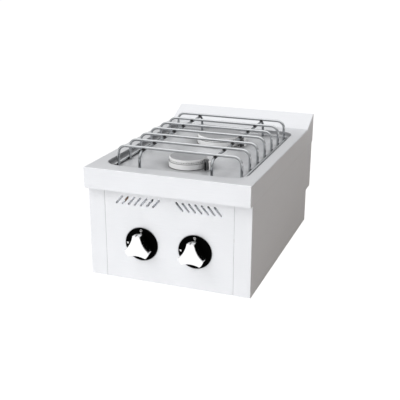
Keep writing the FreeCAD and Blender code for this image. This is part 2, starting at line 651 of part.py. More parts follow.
piece(bottom, "bottom_panel")

# Back panel: one sheet folded in a step, so that the gas inlet sits in a recess.
rear = doc.addObject("PartDesign::Body", "rear")
stepped = outline(rear, "YZ_Plane", 0, [
    (INSIDE_BACK, UNDER_TOP), (INSIDE_BACK, STEP), (LOWER_BACK, STEP), (LOWER_BACK, BASE),
    (f"{LOWER_BACK} - panel_steel", BASE), (f"{LOWER_BACK} - panel_steel", f"{STEP} + panel_steel"),
    (f"{INSIDE_BACK} - panel_steel", f"{STEP} + panel_steel"), (f"{INSIDE_BACK} - panel_steel", UNDER_TOP)])
feature("Pad", rear, stepped, f"2 * {INSIDE}", "Symmetric")
rear_vent = outline(rear, "XZ_Plane", f"-({INSIDE_BACK} - panel_steel)", slot(
    "(-rear_vent_pitch * (rear_vent_count - 1) / 2)", "(foot_height + rear_vent_height)",
    "0", "rear_vent_length", "rear_vent_slot / 2"))
rear_vent_cut = feature("Pocket", rear, rear_vent, "2 * panel_steel")
row_of(rear, rear_vent_cut, "H_Axis", "rear_vent_pitch", "rear_vent_count")
REAR_SCREWS = [(f"{side} * ({INSIDE} - rear_screw_inset)", z) for side in (-1, 1)
               for z in (f"({STEP} + rear_screw_inset)", f"({SKIRT} - rear_screw_inset)")]
rear_screw_holes = circles(rear, "XZ_Plane", f"-({INSIDE_BACK} - panel_steel)", [
    (x, z, "screw_radius + fit_gap") for x, z in REAR_SCREWS])
feature("Pocket", rear, rear_screw_holes, "2 * panel_steel")
inlet_hole = circles(rear, "XZ_Plane", f"-({LOWER_BACK} - panel_steel)", [
    (INLET_X, MANIFOLD_Z, "inlet_shank + fit_gap")])
feature("Pocket", rear, inlet_hole, "2 * panel_steel")
piece(rear, "rear_panel")

# Feet of rubber, each held by a screw from below, and the screws of the back panel.
screws = []
for side, x_name in ((-1, "left"), (1, "right")):
    for y, y_name in zip(FOOT_Y, ("front", "rear")):
        foot = turned(f"{y_name}_{x_name}_foot", [
            ("foot_radius - foot_taper", 0), ("foot_radius", "foot_height"),
            ("screw_radius + fit_gap", "foot_height"), ("screw_radius + fit_gap", "foot_recess"),
            ("screw_head + fit_gap", "foot_recess"), ("screw_head + fit_gap", 0)])
        place(foot, f"{side} * {FOOT_X}", y, 0)
        piece(foot, f"foot_{y_name}_{x_name}")
        head = bar("foot_head", "screw_head", "screw_head_height", f"{side} * {FOOT_X}", y,
                   "foot_recess - screw_head_height")
        shank = bar("foot_shank", "screw_radius", "screw_grip", f"{side} * {FOOT_X}", y, "foot_recess")
        screws.append(joined("foot_screw", head, shank))
for x, z in REAR_SCREWS:
    head = bar("rear_head", "screw_head", "screw_head_height", x, INSIDE_BACK, z, ALONG_Y)
    shank = bar("rear_shank", "screw_radius", "screw_grip", x, f"{INSIDE_BACK} - screw_grip", z, ALONG_Y)
    screws.append(joined("rear_screw", head, shank))
piece(group("screw_group", *screws), "screws")

# Gas inlet: a threaded stub in the recess, a lock nut inside, and the pipe to the manifold.
stub = turned("stub", [
    ("inlet_bore", "-inlet_shank_length"), ("inlet_shank", "-inlet_shank_length"), ("inlet_shank", 0),
    ("inlet_flange", 0), ("inlet_flange", "inlet_flange_thick"), ("inlet_thread", "inlet_flange_thick"),
    ("inlet_thread", "inlet_flange_thick + inlet_thread_length"),
    ("inlet_bore", "inlet_flange_thick + inlet_thread_length")])
place(stub, INLET_X, LOWER_BACK, MANIFOLD_Z, ALONG_Y)
piece(stub, "inlet_fitting")
lock = turned("lock", [
    ("inlet_shank + fit_gap", "-panel_steel - inlet_nut_thick"),
    ("inlet_flange", "-panel_steel - inlet_nut_thick"),
    ("inlet_flange", "-panel_steel"), ("inlet_shank + fit_gap", "-panel_steel")])
place(lock, INLET_X, LOWER_BACK, MANIFOLD_Z, ALONG_Y)
piece(lock, "inlet_nut")
inlet_pipe = bent_tube("pipe", [
    (INLET_X, f"{LOWER_BACK} - inlet_shank_length", MANIFOLD_Z),
    (INLET_X, MANIFOLD_Y, MANIFOLD_Z), (MANIFOLD_END, MANIFOLD_Y, MANIFOLD_Z)],
    "pipe_bend", "pipe_radius", "inlet_bore")
piece(inlet_pipe, "inlet_pipe")

# Manifold: a closed pipe across the front with a stub under each valve, on two stands.
manifold_pipe = bar("manifold_pipe", "manifold_radius", f"2 * {MANIFOLD_END}",
                    f"-{MANIFOLD_END}", MANIFOLD_Y, MANIFOLD_Z, ALONG_X)
sockets = [bar("socket", "socket_radius", "manifold_drop - valve_width / 2", f"{side} * knob_spacing / 2",
               MANIFOLD_Y, MANIFOLD_Z) for side in (-1, 1)]
manifold_bore = bar("manifold_way", "manifold_bore", f"2 * {MANIFOLD_END}",
                    f"-{MANIFOLD_END} + manifold_radius", MANIFOLD_Y, MANIFOLD_Z, ALONG_X)
manifold = cut("manifold_cut", joined("manifold_outside", manifold_pipe, *sockets), manifold_bore)
piece(manifold, "manifold")
stands = []
for side in (-1, 1):
    middle = f"{side} * bracket_place"
    stand = block("stand", (f"{middle} - bracket_thick / 2", f"{middle} + bracket_thick / 2"),
                  (f"{MANIFOLD_Y} - bracket_reach", f"{MANIFOLD_Y} + bracket_reach"),
                  (f"{BASE} + panel_steel", MANIFOLD_Z))
    saddle = bar("saddle", "manifold_radius + fit_gap", "2 * bracket_thick",
                 f"{middle} - bracket_thick", MANIFOLD_Y, MANIFOLD_Z, ALONG_X)
    stands.append(cut("stand_cut", stand, saddle))
piece(group("stand_group", *stands), "manifold_stands")

# Controls: at each valve a gland nut, a spindle with a collar, a sprung plunger, a dial plate and a knob.
KNOB_BACK = "(bezel_thick + knob_clear + knob_travel)"
KNOB_DEPTH = f"(apron_overhang + knob_reach - {KNOB_BACK})"
PLUNGER = "(collar_place + collar_thick + seat_gap)"
SPRING = f"({PLUNGER} + plunger_thick + seat_gap + spring_wire)"
SPRING_END = "(valve_front + valve_length - valve_end - knob_travel - seat_gap - spring_wire)"
for side, name in ((-1, "left"), (1, "right")):
    x = f"({side} * knob_spacing / 2)"
    shell = block("valve_block", (f"{x} - valve_width / 2", f"{x} + valve_width / 2"),
                  (f"{PANEL} + valve_front", VALVE_BACK), (f"{AXIS} - valve_width / 2", VALVE_TOP))
    chamber = bar("chamber", "valve_bore", "valve_length - valve_end",
                  x, f"{PANEL} + valve_front", AXIS, ALONG_Y)
    piece(cut("valve_cut", shell, chamber), f"valve_body_{name}")

    gland = turned(f"gland_{name}", [
        ("spindle_radius + fit_gap", "valve_front - gland_thick"),
        ("gland_radius", "valve_front - gland_thick"), ("gland_radius", "valve_front"),
        ("valve_bore - fit_gap", "valve_front"), ("valve_bore - fit_gap", "valve_front + gland_spigot"),
        ("spindle_radius + fit_gap", "valve_front + gland_spigot")])
    place(gland, x, PANEL, AXIS, ALONG_Y)
    piece(gland, f"valve_gland_{name}")

    shaft = turned(f"shaft_{name}", [
        (0, f"-{KNOB_BACK} - spindle_grip"), ("spindle_radius", f"-{KNOB_BACK} - spindle_grip"),
        ("spindle_radius", "collar_place"), ("collar_radius", "collar_place"),
        ("collar_radius", "collar_place + collar_thick"), (0, "collar_place + collar_thick")])
    place(shaft, x, PANEL, AXIS, ALONG_Y)
    flat = block("spindle_flat_cut", (f"{x} - spindle_radius", f"{x} + spindle_radius"),
                 (f"{PANEL} - {KNOB_BACK} - 2 * spindle_grip", f"{PANEL} - {KNOB_BACK}"),
                 (f"{AXIS} + spindle_flat", f"{AXIS} + 2 * spindle_radius"))
    piece(cut("spindle_cut", shaft, flat), f"spindle_{name}")

    plunger = turned(f"pusher_{name}", [
        (0, PLUNGER), ("valve_bore - loose_gap", PLUNGER),
        ("valve_bore - loose_gap", f"{PLUNGER} + plunger_thick"),
        ("plunger_stem", f"{PLUNGER} + plunger_thick"),
        ("plunger_stem", f"{PLUNGER} + plunger_thick + plunger_reach"),
        (0, f"{PLUNGER} + plunger_thick + plunger_reach")])
    place(plunger, x, PANEL, AXIS, ALONG_Y)
    piece(plunger, f"plunger_{name}")

    helix = doc.addObject("Part::Helix", "spring_path")
    bind(helix, "Pitch", "spring_pitch")
    bind(helix, "Height", f"{SPRING_END} - {SPRING}")
    bind(helix, "Radius", "spring_radius")
    wire = doc.addObject("Part::Circle", "spring_section")
    bind(wire, "Radius", "spring_wire")
    place(wire, "spring_radius", 0, 0, Rotation(Vector(1, 0, 0), 90))
    coil = doc.addObject("Part::Sweep", "spring_sweep")
    coil.Sections = [wire]
    coil.Spine = helix
    coil.Solid = True
    coil.Frenet = True
    place(coil, x, f"{PANEL} + {SPRING}", AXIS, ALONG_Y)
    piece(coil, f"valve_spring_{name}")

    dial = turned(f"dial_{name}", [
        ("spindle_hole", "-bezel_thick"), ("bezel_radius - bezel_chamfer", "-bezel_thick"),
        ("bezel_radius", "-bezel_thick + bezel_chamfer"), ("bezel_radius", 0), ("spindle_hole", 0)])
    place(dial, x, PANEL, AXIS, ALONG_Y)
    piece(dial, f"bezel_{name}")

    knob = doc.addObject("PartDesign::Body", f"grip_{name}")
    feature("Pad", knob, circles(knob, "XZ_Plane", 0, [(0, 0, "knob_radius")]), KNOB_DEPTH)
    scoop = circles(knob, "XZ_Plane", KNOB_DEPTH, [(0, "-(knob_waist + knob_hollow)", "knob_hollow")])
    scoop_cut = feature("Pocket", knob, scoop, KNOB_DEPTH)
    lobes = knob.newObject("PartDesign::PolarPattern", knob.Name + "_lobes")
    lobes.Originals = [scoop_cut]
    lobes.Axis = (scoop, ["N_Axis"])
    bind(lobes, "Occurrences", "knob_lobes")
    knob.Tip = lobes
    round_edges(knob, "knob_lobe_round", lambda edge: edge.BoundBox.XLength < TINY
                and abs(edge.BoundBox.YLength - value(KNOB_DEPTH)) < TINY)
    round_edges(knob, "knob_edge", lambda edge: edge.BoundBox.YMax < TINY - value(KNOB_DEPTH))
    notch = outline(knob, "XZ_Plane", KNOB_DEPTH, rectangle(
        ("-knob_notch / 2", "knob_notch / 2"),
        ("knob_radius - knob_notch_depth", "knob_radius + knob_edge")))
    feature("Pocket", knob, notch, KNOB_DEPTH)
    half_flat = "sqrt((spindle_radius + fit_gap) ^ 2 - (spindle_flat + fit_gap) ^ 2)"
    socket = outline(knob, "XZ_Plane", 0, [
        (half_flat, "spindle_flat + fit_gap"), (f"-{half_flat}", "spindle_flat + fit_gap", 0, 0, 1)])
    feature("Pocket", knob, socket, "spindle_grip + seat_gap", backwards=True)
    place(knob, x, f"{PANEL} - {KNOB_BACK}", AXIS)
    piece(knob, f"knob_{name}")

# Burners: a cup with its ring on the pan, a lift-off crown with flame ports and a lift-off cap.
# Each has a mixing tube out to one side, an injector on a bracket, a pilot and a thermocouple.
for name, (ring, y, side) in BURNERS.items():
    neck = f"({ring} - ring_seat)"
    bowl = f"({neck} - bowl_taper)"
    outward = ALONG_X if side > 0 else ALONG_MINUS_X
    cast = turned(f"cup_{name}", [
        (neck, 0), (ring, 0), (ring, "ring_height"), (f"{ring} - ring_lip", "ring_height"),
        (f"{ring} - ring_lip", "ring_height - crown_skirt - crown_room"), (f"{neck} - bowl_wall", 0),
        (f"{bowl} - bowl_wall", "bowl_wall - bowl_depth"), (0, "bowl_wall - bowl_depth"), (0, "-bowl_depth"),
        (bowl, "-bowl_depth"), (neck, "-ring_seat")])
    place(cast, 0, y, FLOOR)
    boss = bar(f"boss_{name}", "boss_radius", f"{neck} + boss_reach - {bowl} / 2",
               f"{side} * {bowl} / 2", y, MIX_Z, outward)
    room = turned(f"room_{name}", [
        (0, "bowl_wall - bowl_depth"), (f"{bowl} - bowl_wall", "bowl_wall - bowl_depth"),
        (f"{neck} - bowl_wall", 0), (0, 0)])
    place(room, 0, y, FLOOR)
    way = bar(f"way_{name}", "mix_radius + fit_gap", f"{neck} + 2 * boss_reach", 0, y, MIX_Z, outward)
    piece(cut(f"cup_cut_{name}", joined(f"cup_outside_{name}", cast, boss), room, way), f"burner_cup_{name}")

    crown_radius = f"({ring} - crown_inset)"
    crown_inside = f"({crown_radius} - crown_wall)"
    skirt = f"({ring} - ring_lip - loose_gap)"
    crown = turned(f"crown_{name}", [
        (crown_radius, "ring_height + seat_gap"), (crown_radius, "ring_height + crown_height"),
        (crown_inside, "ring_height + crown_height"), (crown_inside, "ring_height - crown_skirt"),
        (skirt, "ring_height - crown_skirt"), (skirt, "ring_height + seat_gap")])
    place(crown, 0, y, FLOOR)
    ports = []
    port_count = round(value(f"2 * pi * {crown_radius} / port_pitch"))
    for index in range(port_count):
        angle = 360 * index / port_count
        reach = f"({crown_inside} - port_radius)"
        ports.append(bar("port", "port_radius", "crown_wall + 2 * port_radius", f"cos({angle}) * {reach}",
                         f"{y} + sin({angle}) * {reach}", f"{FLOOR} + ring_height + crown_height / 2",
                         Rotation(Vector(0, 0, 1), angle) * ALONG_X))
    piece(cut(f"crown_cut_{name}", crown, group(f"ports_{name}", *ports)), f"burner_crown_{name}")

    cap_radius = f"({ring} - cap_inset)"
    spigot = f"({crown_inside} - loose_gap)"
    cap_low = "(ring_height + crown_height + seat_gap)"
    cap_high = "(ring_height + crown_height + cap_height)"
    cap = turned(f"cap_{name}", [
        (0, cap_low), (f"{spigot} - cap_spigot", cap_low),
        (f"{spigot} - cap_spigot", f"{cap_low} - cap_spigot"),
        (spigot, f"{cap_low} - cap_spigot"), (spigot, cap_low), (cap_radius, cap_low),
        (cap_radius, f"{cap_high} - cap_chamfer"), (f"{cap_radius} - cap_chamfer", cap_high), (0, cap_high)])
    place(cap, 0, y, FLOOR)
    piece(cap, f"burner_cap_{name}")

    mix_start = f"({neck} - bowl_wall)"
    mix_length = f"(injector_place - jet_reach - air_gap - {mix_start})"
    mix_outside = [
        ("mix_radius", 0), ("mix_radius", "mix_straight"), ("mix_throat", "mix_straight + mix_taper"),
        ("mix_throat", "mix_straight + mix_taper + mix_throat_length"),
        ("mix_mouth", f"{mix_length} - mix_lip"), ("mix_mouth", mix_length)]
    mix_inside = [(f"{radius} - mix_wall", along) for radius, along in reversed(mix_outside)]
    mix = turned(f"venturi_{name}", mix_outside + mix_inside)
    place(mix, f"{side} * {mix_start}", y, MIX_Z, outward)
    piece(mix, f"mixing_tube_{name}")

    injector_x = f"({side} * injector_place)"
    holder = bar(f"holder_{name}", "injector_radius", "injector_below + injector_above", injector_x, y,
                 f"{MIX_Z} - injector_below")
    jet_tip = f"{injector_x} - {side} * jet_reach"
    jet = bar(f"jet_{name}", "jet_radius", "jet_reach", jet_tip, y, MIX_Z, outward)
    orifice = bar(f"orifice_{name}", "jet_bore", "jet_reach", jet_tip, y, MIX_Z, outward)
    nozzle = joined(f"injector_outside_{name}", holder, jet)
    piece(cut(f"injector_cut_{name}", nozzle, orifice), f"injector_{name}")

    shelf_x = (f"{injector_x} - hanger_half_width", INSIDE)
    lug_x = (f"{INSIDE} - hanger_steel", INSIDE)
    if side < 0:
        shelf_x = (f"-{INSIDE}", f"{injector_x} + hanger_half_width")
        lug_x = (f"-{INSIDE}", f"-{INSIDE} + hanger_steel")
    across = (f"{y} - hanger_half_width", f"{y} + hanger_half_width")
    shelf_top = f"({MIX_Z} - hanger_drop)"
    shelf = block(f"shelf_{name}", shelf_x, across, (f"{shelf_top} - hanger_steel", shelf_top))
    lug = block(f"lug_{name}", lug_x, across, (f"{shelf_top} - hanger_flange", shelf_top))
    clamp = bar(f"clamp_{name}", "injector_radius + fit_gap", "3 * hanger_steel", injector_x, y,
                f"{shelf_top} - 2 * hanger_steel")
    hanger = joined(f"hanger_{name}", shelf, lug)
    piece(cut(f"hanger_cut_{name}", hanger, clamp), f"injector_bracket_{name}")

    turn_y = f"({VALVE_BACK} + supply_reach)"
    valve_x = f"({side} * knob_spacing / 2)"
    supply = bent_tube(f"supply_{name}", [
        (valve_x, VALVE_BACK, AXIS), (valve_x, turn_y, AXIS), (injector_x, turn_y, AXIS),
        (injector_x, y, AXIS), (injector_x, y, f"{MIX_Z} - injector_below")],
        "supply_bend", "supply_radius", "supply_bore")
    piece(supply, f"supply_tube_{name}")

    fittings = {"pilot": (PILOT_GAP, "pilot_back", "pilot_below", "pilot_tube"),
                "probe": ("probe_gap", "probe_back", "probe_below", "probe_lead")}
    leads = {}
    for fitting, (gap, back, below, lead) in fittings.items():
        x = f"({ring} + {gap})"
        fitting_y = f"({y} + {back})"
        port_x = min(max(value(x), value(f"{valve_x} - port_reach")), value(f"{valve_x} + port_reach"))
        port_y = f"{PANEL} + valve_front + {fitting}_port + {side} * port_stagger"
        level = f"{FLOOR} - bowl_depth - {fitting}_clear - {side} * lead_stagger"
        lead_tube = bent_tube(f"{fitting}_lead_{name}", [
            (x, fitting_y, f"{FLOOR} - {below}"), (x, fitting_y, level), (x, port_y, level),
            (port_x, port_y, level), (port_x, port_y, VALVE_TOP)], "lead_bend", lead, None)
        stem = bar(f"{fitting}_stem_{name}", f"{fitting}_radius", f"{below} + {fitting}_height",
                   x, fitting_y, f"{FLOOR} - {below}")
        leads[fitting] = (stem, lead_tube)
    hood = bar(f"pilot_hood_{name}", "pilot_hood", "pilot_hood_height", f"{ring} + {PILOT_GAP}",
               f"{y} + pilot_back", f"{FLOOR} + pilot_height")
    piece(joined(f"pilot_join_{name}", *leads["pilot"], hood), f"pilot_burner_{name}")
    piece(joined(f"probe_join_{name}", *leads["probe"]), f"thermocouple_{name}")

    shield_left, shield_right = (f"{ring} + shield_gap {sign} shield_width / 2" for sign in "-+")
    shield_near, shield_far = (f"{y} + shield_back {sign} shield_depth / 2" for sign in "-+")
    outer = block(f"shield_outside_{name}", (shield_left, shield_right), (shield_near, shield_far),
                  (FLOOR, f"{FLOOR} + shield_height"))
    inner = block(f"shield_inside_{name}",
                  (f"{shield_left} + shield_steel", f"{shield_right} - shield_steel"),
                  (f"{shield_near} + shield_steel", f"{shield_far} + shield_depth"),
                  (f"{FLOOR} - shield_steel", f"{FLOOR} + shield_height - shield_steel"))
    piece(cut(f"shield_cut_{name}", outer, inner), f"pilot_shield_{name}")

# Grate: bent cross wires over two rails, tied at the feet by a straight wire along each side.
RAIL_Z = f"({HOOP_Z} - 2 * rod_radius - weld_gap)"
for index in range(int(value("hoop_count"))):
    y = f"({HOOP_FIRST} + {index} * {HOOP_PITCH})"
    hoop_path = arch("-hoop_half_width", "hoop_half_width", GRATE_FOOT, HOOP_Z, "rod_bend")
    hoop = wire_rod(f"cross_wire_{index + 1}", "XZ_Plane", f"-{y}", hoop_path, ("-hoop_half_width", y))
    piece(hoop, f"grate_hoop_{index + 1}")
ties = []
for side, name in ((-1, "left"), (1, "right")):
    rail_front, rail_back = f"({HOOP_FIRST} - rail_overhang)", f"({HOOP_LAST} + rail_overhang)"
    rail_x = f"{side} * rail_place"
    rail_path = arch(rail_front, rail_back, GRATE_FOOT, RAIL_Z, "rod_bend")
    rail = wire_rod(f"long_wire_{name}", "YZ_Plane", rail_x, rail_path, (rail_x, rail_front))
    piece(rail, f"grate_rail_{name}")
    tie_length = f"{HOOP_LAST} - {HOOP_FIRST} + 2 * side_rod_overhang"
    tie_x = f"{side} * (hoop_half_width + 2 * rod_radius + weld_gap)"
    ties.append(bar(f"side_wire_{name}", "rod_radius", tie_length, tie_x, f"{HOOP_FIRST} - side_rod_overhang",
                    f"{GRATE_FOOT} + rod_radius", ALONG_Y))
piece(group("tie_group", *ties), "grate_side_rods")

doc.recompute()
for thing in doc.Objects:
    if {"Invalid", "Error"} & set(thing.State):
        raise RuntimeError(f"{thing.Label} failed: {thing.State}")
for thing in pieces:
    if thing.Shape.isNull() or not thing.Shape.isValid() or not thing.Shape.Solids:
        raise RuntimeError(f"{thing.Label} has no sound solid")

os.makedirs("parts", exist_ok=True)
for thing in pieces:
    thing.Shape.exportStep(os.path.join("parts", thing.Label + ".step"))
print(len(pieces), "pieces")
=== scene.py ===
import math
import bmesh
import bpy
from mathutils import Matrix, Vector


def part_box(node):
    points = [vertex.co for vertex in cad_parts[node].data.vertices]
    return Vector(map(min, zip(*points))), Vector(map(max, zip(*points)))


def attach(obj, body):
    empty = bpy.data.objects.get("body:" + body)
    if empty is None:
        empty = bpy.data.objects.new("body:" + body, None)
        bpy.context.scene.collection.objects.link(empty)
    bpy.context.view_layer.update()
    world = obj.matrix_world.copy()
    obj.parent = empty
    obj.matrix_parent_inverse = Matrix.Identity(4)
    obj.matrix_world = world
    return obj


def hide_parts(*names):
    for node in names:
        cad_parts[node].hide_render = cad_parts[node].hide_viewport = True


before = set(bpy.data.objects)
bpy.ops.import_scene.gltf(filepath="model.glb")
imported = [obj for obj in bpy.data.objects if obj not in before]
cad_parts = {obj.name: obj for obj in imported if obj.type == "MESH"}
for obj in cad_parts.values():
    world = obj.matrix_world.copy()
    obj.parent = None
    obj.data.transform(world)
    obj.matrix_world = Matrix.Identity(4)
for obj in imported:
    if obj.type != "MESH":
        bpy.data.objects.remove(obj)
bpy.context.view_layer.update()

# Sheet steel body: bottom tray, back panel, side panels, control panel and the pressed worktop.
# Cold rolled stainless sheet, folded and screwed together. Its fine brushed grain runs along each sheet, so
# the pieces that face the side have theirs turned. Their colour holds painted shade, darker where other
# surfaces stand close.
MM = 0.001
BRUSHED_ACROSS = (90, 1, 1)
BRUSHED_ALONG = (1, 90, 1)
UNSHADED_OPENNESS = 0.96


def new_finish(name, colour, metallic, roughness, specular=0.5):
    """A material whose plain values stand on the shader's own sockets."""
    material = bpy.data.materials.new(name)
    material.use_nodes = True
    shader = material.node_tree.nodes["Principled BSDF"]
    shader.inputs["Base Color"].default_value = (*colour, 1)
    shader.inputs["Metallic"].default_value = metallic
    shader.inputs["Roughness"].default_value = roughness
    shader.inputs["Specular IOR Level"].default_value = specular
    return material


def grain(material, size, stretch=(1, 1, 1), detail=3):
    """Noise of the given size in metres on the piece's own coordinates, drawn out along the stretch."""
    nodes = material.node_tree.nodes
    links = material.node_tree.links
    coordinates = nodes.new("ShaderNodeTexCoord")
    mapping = nodes.new("ShaderNodeMapping")
    mapping.inputs["Scale"].default_value = [1 / (size * factor) for factor in stretch]
    noise = nodes.new("ShaderNodeTexNoise")
    noise.inputs["Scale"].default_value = 1
    noise.inputs["Detail"].default_value = detail
    links.new(coordinates.outputs["Object"], mapping.inputs["Vector"])
    links.new(mapping.outputs["Vector"], noise.inputs["Vector"])
    return noise.outputs["Fac"]


def spread(material, value, low, high, start=0.3, end=0.7):
    """A pattern's values from start to end, which is the middle of a noise, spread from low to high."""
    span = material.node_tree.nodes.new("ShaderNodeMapRange")
    span.inputs["From Min"].default_value = start
    span.inputs["From Max"].default_value = end
    span.inputs["To Min"].default_value = low
    span.inputs["To Max"].default_value = high
    material.node_tree.links.new(value, span.inputs["Value"])
    return span.outputs["Result"]


def feed(material, socket, value):
    """Drives one of the shader's sockets with a pattern."""
    shader = material.node_tree.nodes["Principled BSDF"]
    material.node_tree.links.new(value, shader.inputs[socket])


def roughen(material, size, low, high):
    """Roughness that goes from low to high in patches of the given size."""
    feed(material, "Roughness", spread(material, grain(material, size), low, high))


def tint(material, value, dark, light):
    """Colour that goes from dark to light with a pattern."""
    mix = material.node_tree.nodes.new("ShaderNodeMix")
    mix.data_type = "RGBA"
    mix.inputs["A"].default_value = (*dark, 1)
    mix.inputs["B"].default_value = (*light, 1)
    material.node_tree.links.new(value, mix.inputs["Factor"])
    feed(material, "Base Color", mix.outputs["Result"])


def relief(material, value, depth):
    """A pattern pressed into the surface, depth in metres, on top of any relief made before."""
    nodes = material.node_tree.nodes
    links = material.node_tree.links
    normal = nodes["Principled BSDF"].inputs["Normal"]
    bump = nodes.new("ShaderNodeBump")
    bump.inputs["Distance"].default_value = depth
    links.new(value, bump.inputs["Height"])
    for link in list(normal.links):
        links.new(link.from_socket, bump.inputs["Normal"])
    links.new(bump.outputs["Normal"], normal)


def brushed_steel(name, stretch):
    """Satin stainless sheet: hair-fine lines along the grain, and a faint cloud of uneven polish."""
    material = new_finish(name, (0.89, 0.9, 0.925), 0.6, 0.36)
    lines = grain(material, 0.5 * MM, stretch)
    roughen(material, 55 * MM, 0.33, 0.4)
    tint(material, spread(material, lines, 0, 1), (0.865, 0.875, 0.9), (0.915, 0.925, 0.95))
    relief(material, lines, 0.004 * MM)
    return material


def paint_shade(material, share):
    """Paints shade into the finish by darkening its colour pattern to a share of itself."""
    nodes = material.node_tree.nodes
    links = material.node_tree.links
    colour = nodes["Principled BSDF"].inputs["Base Color"]
    shaded_colour = nodes.new("ShaderNodeMix")
    shaded_colour.data_type = "RGBA"
    shaded_colour.blend_type = "MULTIPLY"
    shaded_colour.inputs["Factor"].default_value = 1
    links.new(colour.links[0].from_socket, shaded_colour.inputs["A"])
    links.new(share, shaded_colour.inputs["B"])
    links.new(shaded_colour.outputs["Result"], colour)


def paint_close_shade(material, reach, nearest, darkest):
    """Paints shade into the colour where other surfaces stand close, darkest where they are nearest."""
    openness = material.node_tree.nodes.new("ShaderNodeAmbientOcclusion")
    openness.inputs["Distance"].default_value = reach
    paint_shade(material, spread(material, openness.outputs["AO"], darkest, 1, nearest, UNSHADED_OPENNESS))


def dress(node, material):
    """Gives a node of the frame its finish."""
    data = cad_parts[node].data
    data.materials.clear()
    data.materials.append(material)


cross_brushed = brushed_steel("steel_brushed_across", BRUSHED_ACROSS)
long_brushed = brushed_steel("steel_brushed_along", BRUSHED_ALONG)
pressed_steel = brushed_steel("steel_pressed", BRUSHED_ACROSS)
# Painted shade: the pan darkens near its walls and round the burners, the folded sheet under the apron and
# round the dials.
paint_close_shade(pressed_steel, reach=50 * MM, nearest=0.75, darkest=0.5)
for folded_steel in (cross_brushed, long_brushed):
    paint_close_shade(folded_steel, reach=13 * MM, nearest=0.4, darkest=0.2)
dress("worktop", pressed_steel)
for node in ("control_panel", "rear_panel", "bottom_panel"):
    dress(node, cross_brushed)
for node in ("side_panel_left", "side_panel_right"):
    dress(node, long_brushed)

# Gas train inside the box: brass valves and injectors, copper supply tubes browned by heat, zinc plated
# manifold, pipe and brackets. Turned, bent or folded, and screwed together; seen through the vents, from
# below and round the pilots.


def cloud(material, size, dark, light):
    """Colour that goes from dark to light in patches of the given size."""
    tint(material, spread(material, grain(material, size), 0, 1), dark, light)


brass = new_finish("brass", (0.78, 0.56, 0.24), 1, 0.3)
roughen(brass, 1.5 * MM, 0.22, 0.4)
cloud(brass, 12 * MM, (0.66, 0.45, 0.18), (0.83, 0.62, 0.3))

copper = new_finish("copper", (0.76, 0.42, 0.26), 1, 0.3)
cloud(copper, 20 * MM, (0.3, 0.19, 0.13), (0.46, 0.3, 0.21))
roughen(copper, 4 * MM, 0.22, 0.42)

zinc = new_finish("zinc_plate", (0.62, 0.63, 0.64), 1, 0.4)
spangle = grain(zinc, 6 * MM, detail=1)
tint(zinc, spread(zinc, spangle, 0, 1), (0.54, 0.55, 0.57), (0.7, 0.71, 0.71))
feed(zinc, "Roughness", spread(zinc, spangle, 0.32, 0.5))

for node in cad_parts:
    if node.startswith(("valve_body", "valve_gland", "injector_front", "injector_rear", "inlet_nut")):
        dress(node, brass)
    if node.startswith("supply_tube"):
        dress(node, copper)
    if node.startswith(("manifold", "inlet_pipe", "injector_bracket", "mixing_tube", "spindle", "plunger",
                        "valve_spring")):
        dress(node, zinc)

# Gas inlet: a brass stub through the back panel with a hexagon to hold it by and a half-inch pipe thread,
# turned from bar, the thread cut as one long helix.
TURN_STEPS = 32
FULL_TURN = math.radians(360)
SAME_POINT = 0.001 * MM
SHARP_EDGE = math.radians(40)
INLET_SHANK = 9 * MM
INLET_SHANK_LENGTH = 12 * MM
INLET_BORE = 6.5 * MM
INLET_HEX = 14 * MM
INLET_HEX_THICK = 6 * MM
HEX_SIDES = 6
STUB_CHAMFER = 1 * MM
THREAD_CREST = 10.48 * MM
THREAD_ROOT = 9.32 * MM
THREAD_SUNK = 0.1 * MM
THREAD_PITCH = 1.814 * MM
THREAD_TURNS = 11
ALONG_Y = Matrix.Rotation(math.radians(-90), 4, "X")


def edges_of(geometry):
    """The edges among what an operator made."""
    return [part for part in geometry if isinstance(part, bmesh.types.BMEdge)]


def draw_outline(mesh, points, closed=False):
    """A chain of edges through the points."""
    verts = [mesh.verts.new(point) for point in points]
    ends = verts[1:] + verts[:1] if closed else verts[1:]
    return verts, [mesh.edges.new(pair) for pair in zip(verts, ends)]


def turn(mesh, outline):
    """Turns an outline of (radius, height) points about the upright axis."""
    verts, edges = draw_outline(mesh, [(radius, 0, height) for radius, height in outline])
    bmesh.ops.spin(mesh, geom=verts + edges, cent=(0, 0, 0), axis=(0, 0, 1), angle=FULL_TURN,
                   steps=TURN_STEPS, use_merge=True)


def polygon(radius, count, height):
    """Points of a regular polygon about the upright axis."""
    turns = [FULL_TURN * index / count for index in range(count)]
    return [(radius * math.cos(angle), radius * math.sin(angle), height) for angle in turns]


def pierced_face(mesh, outer, inner):
    """A flat face with a hole: the edges of its outside and of its hole."""
    outer_edges = draw_outline(mesh, outer, closed=True)[1]
    inner_edges = draw_outline(mesh, inner, closed=True)[1]
    bmesh.ops.triangle_fill(mesh, use_beauty=True, edges=outer_edges + inner_edges)
    return outer_edges, inner_edges


def make_piece(name, mesh, material, body, stands_for=()):
    """Closes the mesh, shades it and hands it to the body that carries it."""
    bmesh.ops.remove_doubles(mesh, verts=mesh.verts, dist=SAME_POINT)
    bmesh.ops.recalc_face_normals(mesh, faces=mesh.faces)
    data = bpy.data.meshes.new(name)
    mesh.to_mesh(data)
    mesh.free()
    data.shade_smooth()
    data.set_sharp_from_angle(angle=SHARP_EDGE)
    data.materials.append(material)
    made = bpy.data.objects.new(name, data)
    bpy.context.scene.collection.objects.link(made)
    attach(made, body)
    if stands_for:
        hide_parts(*stands_for)
    return made


